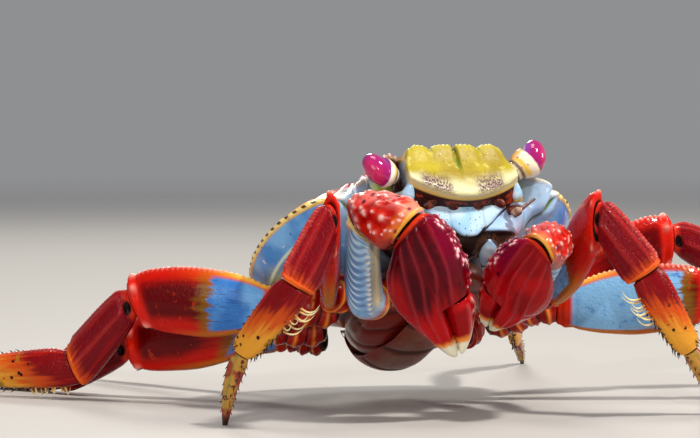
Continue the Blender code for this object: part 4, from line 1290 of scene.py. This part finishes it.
# each piece's name, root and tip on the left, table, girth, look, finish, slot, and the node it replaces:
# outer mouthparts, feelers, small folded feelers under the brow, and the tooth under each eye socket
smallParts = (
    ("maxilliped_{}_shell", (6.6, 22.5, -19.4), (4.4, 33.0, -16.6), jawTable, 1.0, jawLook, mouthFinish,
     "mouth_shell", "maxilliped_"),
    ("antenna_{}_shell", (10.4, 34.4, -11.2), (15.6, 36.8, -8.4), feelerTable, 1.0, feelerLook, wispFinish,
     "feeler", "antenna_"),
    ("small_feeler_{}_0", (1.6, 33.2, -8.8), (5.2, 35.6, -7.6), *bud),
    ("small_feeler_{}_1", (9.6, 33.2, -8.2), (6.4, 35.0, -7.0), *bud),
    ("small_feeler_{}_2", (10.2, 32.6, -9.4), (13.0, 34.6, -9.0), *bud),
    ("socket_tooth_{}", (13.4, 32.6, -6.8), (12.2, 35.8, -3.4), smallTable, 1.25,
     dict(feelerLook, counts=(40, 28)), toothFinish, "body_shell"),
)
settle(mouthPlate(), mouthPlateFinish(), "mouth_shell")
mouthParts = {}
for sideName, side in sides.items():
    for name, root, tip, table, girth, look, finish, slotName, *nodes in smallParts:
        start, end = bodyToRow([root, tip] * np.array((side, 1, 1)))
        bone = {"start": start, "end": end, "frontSign": -side}
        made = limbPiece(name.format(sideName), bone, table, girth, look)
        settle(made["piece"], finish, slotName, *(node + sideName for node in nodes))
        mouthParts.setdefault(sideName, made)
print("mouth made")


# underside
# half width, front, back and height of the plate between the legs, from the top down
plastronRows = ((13.6, 12.0, -27.0, -9.8), (14.0, 16.0, -27.8, -12.0), (13.6, 19.0, -24.6, -15.6),
                (12.6, 18.6, -20.0, -17.6), (8.0, 14.0, -16.0, -18.6))
# forward, up and half width of the flap folded under the body, from its root
flapRows = ((-32, -4.8, 8.4), (-31.8, -8.6, 8.8), (-30.6, -12.4, 8.6), (-27.6, -16.4, 8.2),
            (-19.6, -19.6, 7.4), (-8, -20.2, 6.2), (2, -20.2, 4.6), (9, -20, 2.8), (12, -19.9, 1.4))
# leg seams in mm forward, and how rounded the plate's and the flap's sections are
belly = {"segments": 6.88, "legSeams": (14, 6, -3, -12, -21), "slant": 0.35, "platePower": 2.6,
         "flapPower": 2.4, "flapThick": 0.75}


# oval rings growing and shrinking down the plate, with a slanting groove between each pair of legs
def plastronSurface():
    level = np.linspace(0, 4, 60)[:, None]
    rows = throughRows(np.arange(5), np.array(plastronRows), level[:, 0])
    half, front, back, up = rows.T[..., None]
    turn = np.radians(np.arange(128) * 360.0 / 128)
    left = half * squared(np.sin(turn), 2 / belly["platePower"])
    ahead = (front + back) / 2 + (front - back) / 2 * squared(np.cos(turn), 2 / belly["platePower"])
    seams = bells(ahead + belly["slant"] * np.abs(left), 0.7, *belly["legSeams"]) * ease(level, 0.8, 1.6)
    grid = np.stack([left, ahead, up + 0 * turn], -1)
    grid = grid - gridNormals(grid) * (0.5 * seams)[..., None]
    poles = bodyToRow([(0.0, -7.5, -9.8), (0.0, -1.0, -18.8)])
    return closedSurface("sternum_shell", bodyToRow(grid), {"ridge": seams, "level": level / 4}, poles)


# The folded flap: flat oval sections along its path, stepped where one segment overlaps the next.
# point = path + slope's normal * thickness * |cos|^(2/power), and half width * |sin|^(2/power) to each side
def flapSurface():
    at = np.linspace(0, 8, 150)
    path = throughRows(np.arange(9), np.array(flapRows), at, steady=False)
    slope = unit(np.gradient(path[:, :2], axis=0))
    at, width = at[:, None], path[:, 2:3]
    turn = np.radians(np.arange(72) * 5.0)
    share = squared(np.sin(turn), 2 / belly["flapPower"])
    segment = at * belly["segments"] / 8 % 1.0
    seams = bells(segment, 0.07, 0.0, 1.0)
    thick = belly["flapThick"] + 0.3 * segment * ease(at, 0.2, 0.5) + 0.35 * (1 - share ** 2) - 0.3 * seams
    thick = thick * np.minimum(1.0, np.minimum(at, 8 - at) * 2 + 0.35)
    upward = np.maximum(thick * squared(np.cos(turn), 2 / belly["flapPower"]), -0.8)
    upward = upward - 2.4 * np.abs(share) ** 2.5 * window(at, 0.0, 1.0, 4.0, 5.2)
    along, up = path[:, 0:1] + slope[:, 1:] * upward, path[:, 1:2] - slope[:, :1] * upward
    grid = np.stack([width * share, along, up], -1)
    fields = {"ridge": seams, "side": np.abs(width * share) / 9, "along": at / 8}
    return closedSurface("abdomen_shell", bodyToRow(grid), fields)


def bellyFinish(name, edgeField):
    f, ridge, rim, fine, broad = finishWith(name, "ridge " + edgeField, 480, 110)
    colour = f.layers(
        (132, 66, 48),
        (ramp(broad, 0.4, 0.66) * 0.7, 150, 112, 96),
        (ramp(fine, 0.5, 0.66) * 0.6, 138, 44, 26),
        (ramp(rim + broad * 0.3, 0.6, 0.95), 130, 28, 16),
        (ridge * 0.85, 46, 16, 14))
    return f.shell(colour, fine, 0.14, (0.26, 0.4), 0.2)


settle(plastronSurface(), bellyFinish("sternum shell", "level"), "under_shell", "sternum")
settle(flapSurface(), bellyFinish("abdomen shell", "side"), "under_shell", "abdomen")
print("underside made")


# spines and bristles
# mm: least height of a spine's middle line over the floor, and how deep its root is sunk; its patch in the
# finish's picture, as shares; and the seeds of the random draws
hair = {"hover": 0.12, "sunk": 0.15, "patch": 0.003, "patchReach": 0.99, "legSeed": 100, "mouthSeed": 300}


# Tapering bent tubes, all at once: each starts at a root, leaves along one direction and ends along
# another. Middle line = root + length * (t * leaving + t^2 / 2 * (ending - leaving)), and the radius is
# thick * (1 - t)^0.7.
def tubes(name, roots, leaving, ending, lengths, thick, uvAt, rings, around):
    count = len(roots)
    t = np.linspace(0, 0.94, rings)[None, :, None]
    bend = ending - leaving
    middle = roots[:, None] + lengths[:, None, None] * (t * leaving[:, None] + t ** 2 / 2 * bend[:, None])
    along = unit(leaving[:, None] + t * bend[:, None])
    away = np.where(np.abs(along[..., 2:3]) < 0.9, np.array([0.0, 0.0, 1.0]), np.array([1.0, 0.0, 0.0]))
    across = unit(np.cross(along, away))
    other = np.cross(along, across)
    turn = (np.arange(around) * 2 * np.pi / around)[:, None]
    radius = (thick[:, None, None] * (1 - t) ** 0.7)[..., None]
    tips = roots + lengths[:, None] * (leaving + 0.5 * bend)
    for line in (middle, tips):
        line[..., 2] = np.maximum(line[..., 2], floorLevel + hair["hover"])
    outward = np.cos(turn) * across[:, :, None] + np.sin(turn) * other[:, :, None]
    shell = (middle[:, :, None] + radius * outward).reshape(count, -1, 3)
    points = np.concatenate([shell, (roots - leaving * 0.1)[:, None], tips[:, None]], 1)
    each = points.shape[1]
    start = (np.arange(count) * each)[:, None, None]
    quads, fans = ((part + start).reshape(-1, part.shape[1]).tolist() for part in ringFaces(rings, around))
    share = np.concatenate([np.repeat(t[0, :, 0], around), [0.0, 1.0]])
    made = putMesh(name, points.reshape(-1, 3), quads + fans, {"along": np.tile(share, count)})
    if uvAt is not None:
        layer = made.data.uv_layers.new(name="OFBake")
        corner = np.zeros(len(made.data.loops), np.int64)
        made.data.loops.foreach_get("vertex_index", corner)
        tube, within = corner // each, corner % each
        spot = uvAt[tube] + np.stack([share[within], within % around / around], -1) * hair["patch"]
        layer.data.foreach_set("uv", spot.astype(np.float32).ravel())
    return made


def spineFinish():
    f, along = finishWith("dark spines", "along")
    fine = f.noise(900, 2.0)
    colour = f.layers(
        (38, 14, 12),
        (ramp(fine, 0.5, 0.65), 70, 30, 20),
        (ramp(along, 0.6, 1.0), 20, 10, 10))
    return f.shell(colour, fine, 0.03, (0.3, 0.45), 0.4)


def bristleFinish():
    f, along = finishWith("pale bristles", "along")
    fine = f.noise(900, 2.0)
    colour = f.layers(
        (222, 176, 104),
        (ramp(along + fine * 0.1, 0.15, 0.5), 246, 230, 172),
        (ramp(fine, 0.56, 0.7) * 0.4, 206, 160, 96))
    return f.shell(colour, fine, 0.02, (0.35, 0.5), 0.3)


def setaeFinish():
    f, along = finishWith("brown setae", "along")
    fine = f.noise(900, 2.0)
    colour = f.layers(
        (96, 58, 34),
        (ramp(along, 0.3, 1.0), 158, 112, 70),
        (ramp(fine, 0.5, 0.7), 70, 40, 26))
    return f.shell(colour, fine, 0.02, (0.5, 0.65), 0.1)


# Rows of spines on a leg piece: how many, the shares they run between, turn and length; lean is how far
# they point to the tip, curl what the lean gains by their ends, and drift a lift of the ends.
def spineRows(made, rows, rng, name, finish, slotName, lean=0.7, curl=0.9, drift=0.0, uv=False, thick=0.17):
    shares = np.concatenate([np.linspace(low, high, count) for count, low, high, *_ in rows])
    turns, sizes = np.repeat([row[3:] for row in rows], [row[0] for row in rows], axis=0).T.astype(float)
    shares = np.clip(shares + rng.uniform(-0.008, 0.008, len(shares)), 0.02, 0.98)
    turns = turns + rng.uniform(-5, 5, len(shares))
    roots, normals = onPiece(made, shares, turns)
    ahead = made["axes"][:, 0]
    sizes = sizes * rng.uniform(0.8, 1.15, len(shares))
    leaving = unit(normals + ahead * lean + rng.uniform(-0.12, 0.12, normals.shape))
    ending = unit(normals * 0.4 + ahead * (lean + curl) + np.array([0.0, 0.0, drift]))
    uvAt = np.stack([shares, turns % 360 / 360], -1) * hair["patchReach"] if uv else None
    roundness = (12, 8) if sizes.max() > 4 else (5, 6)
    roots, thicks = roots - normals * hair["sunk"], thick * np.sqrt(sizes)
    settle(tubes(name, roots, leaving, ending, sizes, thicks, uvAt, *roundness), finish, slotName)


shankRows = ((8, 0.4, 0.96, 172, 1.7), (8, 0.36, 0.95, 190, 1.7), (6, 0.5, 0.96, 4, 1.3),
             (3, 0.93, 0.97, 60, 1.2))
footRows = ((7, 0.1, 0.8, 40, 1), (7, 0.12, 0.8, 320, 1), (7, 0.1, 0.8, 142, 1.1),
            (7, 0.12, 0.82, 218, 1.1))
bristleRows = ((4, 0.16, 0.44, 172, 7.0), (4, 0.2, 0.5, 186, 6.2))
broadRows = ((4, 0.9, 0.95, 160, 0.9), (3, 0.9, 0.95, 205, 0.9))
jawRows = [(26, 0.45, 0.97, turn, 2.0) for turn in (-60, -30, 0, 30, 60, 90)]
spines, bristles, setae = spineFinish(), bristleFinish(), setaeFinish()
for number, (name, leg) in enumerate(legs.items()):
    rng = np.random.default_rng(hair["legSeed"] + number)
    spineRows(leg["propodus"], shankRows, rng, name + "_shank_spines", spines, "leg_propodus")
    spineRows(leg["dactyl"], footRows, rng, name + "_foot_spines", spines, "leg_dactyl")
    if "leg4" not in name:
        spineRows(leg["propodus"], bristleRows, rng, name + "_bristles", bristles, "leg_propodus",
                  -0.1, 0.1, 0.7, True, 0.1)
    spineRows(leg["merus"], broadRows, rng, name + "_broad_spines", spines, "leg_merus")
for sideName, jaw in mouthParts.items():
    rng = np.random.default_rng(hair["mouthSeed"] + len(sideName))
    spineRows(jaw, jawRows, rng, sideName + "_mouth_setae", setae, "mouth_shell",
              0.6, 0.8, 0.0, True, 0.035)
print("spines and bristles made")


# floor, light and camera
# the floor's size and where it fades out, in metres, and colours of the floor, the sky and the lamps
stageLook = {"floorSize": 3.0, "fade": (0.5, 1.4), "floorTint": (176, 174, 171), "sky": (0.86, 0.87, 0.9),
             "skyStrength": 0.32, "lampTint": (1.0, 0.95, 0.88)}
# degrees, then millimetres
camera = {"azimuth": -20, "elevation": 3, "distance": 750, "lens": 167.8, "aimRight": -14, "aimUp": 6.4,
          "nearest": 10, "farthest": 20000}
# place from the crab's middle in mm, size in mm, watts
lamps = {"key": ((200, -300, 620), 70, 5.4), "overhead": ((-60, 40, 800), 300, 2.0),
         "left": ((-700, -500, 260), 300, 1.2), "spark": ((-260, -600, 300), 24, 1.3),
         "right": ((760, -160, 300), 160, 1.5), "back": ((120, 700, 480), 240, 2.4)}


def floorFinish():
    f = Finish("pale floor")
    away = f.node("VectorMath", {"operation": "LENGTH"}, {0: f.place()}, "Value")
    plain = f.node("BsdfPrincipled", None, {"Base Color": tint(*stageLook["floorTint"]), "Roughness": 0.7})
    clear = f.node("BsdfTransparent")
    mixed = f.node("MixShader", None, {0: ramp(away, *stageLook["fade"]), 1: plain, 2: clear})
    f.node("OutputMaterial", None, {"Surface": mixed})
    return f.material


# a matrix from three axes as columns and a place in millimetres
def matrixFrom(axes, place):
    whole = np.eye(4)
    whole[:3, :3], whole[:3, 3] = axes, np.asarray(place) * metre
    return Matrix(whole.tolist())


def buildStage():
    half = stageLook["floorSize"] / 2 / metre
    corners = np.array([(-half, -half, 0), (half, -half, 0), (half, half, 0), (-half, half, 0)])
    floor = putMesh("floor", corners + (0, 0, floorLevel), [(0, 1, 2, 3)], {})
    floor.data.materials.append(floorFinish())
    world = bpy.data.worlds.new("studio")
    world.use_nodes = True
    back = world.node_tree.nodes["Background"]
    back.inputs["Color"].default_value = (*stageLook["sky"], 1.0)
    back.inputs["Strength"].default_value = stageLook["skyStrength"]
    bpy.context.scene.world = world
    middle = np.array(body["middle"])
    for name, (place, size, watts) in lamps.items():
        light = bpy.data.lights.new(name, "AREA")
        light.size = size * metre
        light.energy = watts
        light.color = stageLook["lampTint"]
        lamp = bpy.data.objects.new(name, light)
        bpy.context.scene.collection.objects.link(lamp)
        axes = limbAxes(np.array(place, float), hint=(0.02, 0.01, 1.0))
        lamp.matrix_world = matrixFrom(np.stack([axes[:, 1], axes[:, 2], axes[:, 0]], -1), middle + place)


# the camera looks at the crab's middle, then slides in its own plane to frame it
def buildCamera():
    turn, rise = math.radians(camera["azimuth"]), math.radians(camera["elevation"])
    back = np.array([math.sin(turn) * math.cos(rise), -math.cos(turn) * math.cos(rise), math.sin(rise)])
    right = unit(np.cross((0.0, 0.0, 1.0), back))
    up = np.cross(back, right)
    place = body["middle"] + back * camera["distance"] + right * camera["aimRight"] + up * camera["aimUp"]
    data = bpy.data.cameras.new("camera")
    data.lens = camera["lens"]
    data.clip_start, data.clip_end = camera["nearest"] * metre, camera["farthest"] * metre
    made = bpy.data.objects.new("camera", data)
    bpy.context.scene.collection.objects.link(made)
    made.matrix_world = matrixFrom(np.stack([right, up, back], -1), place)
    bpy.context.scene.camera = made


buildStage()
buildCamera()
bpy.context.scene.view_settings.view_transform = "Standard"
print("stage made")
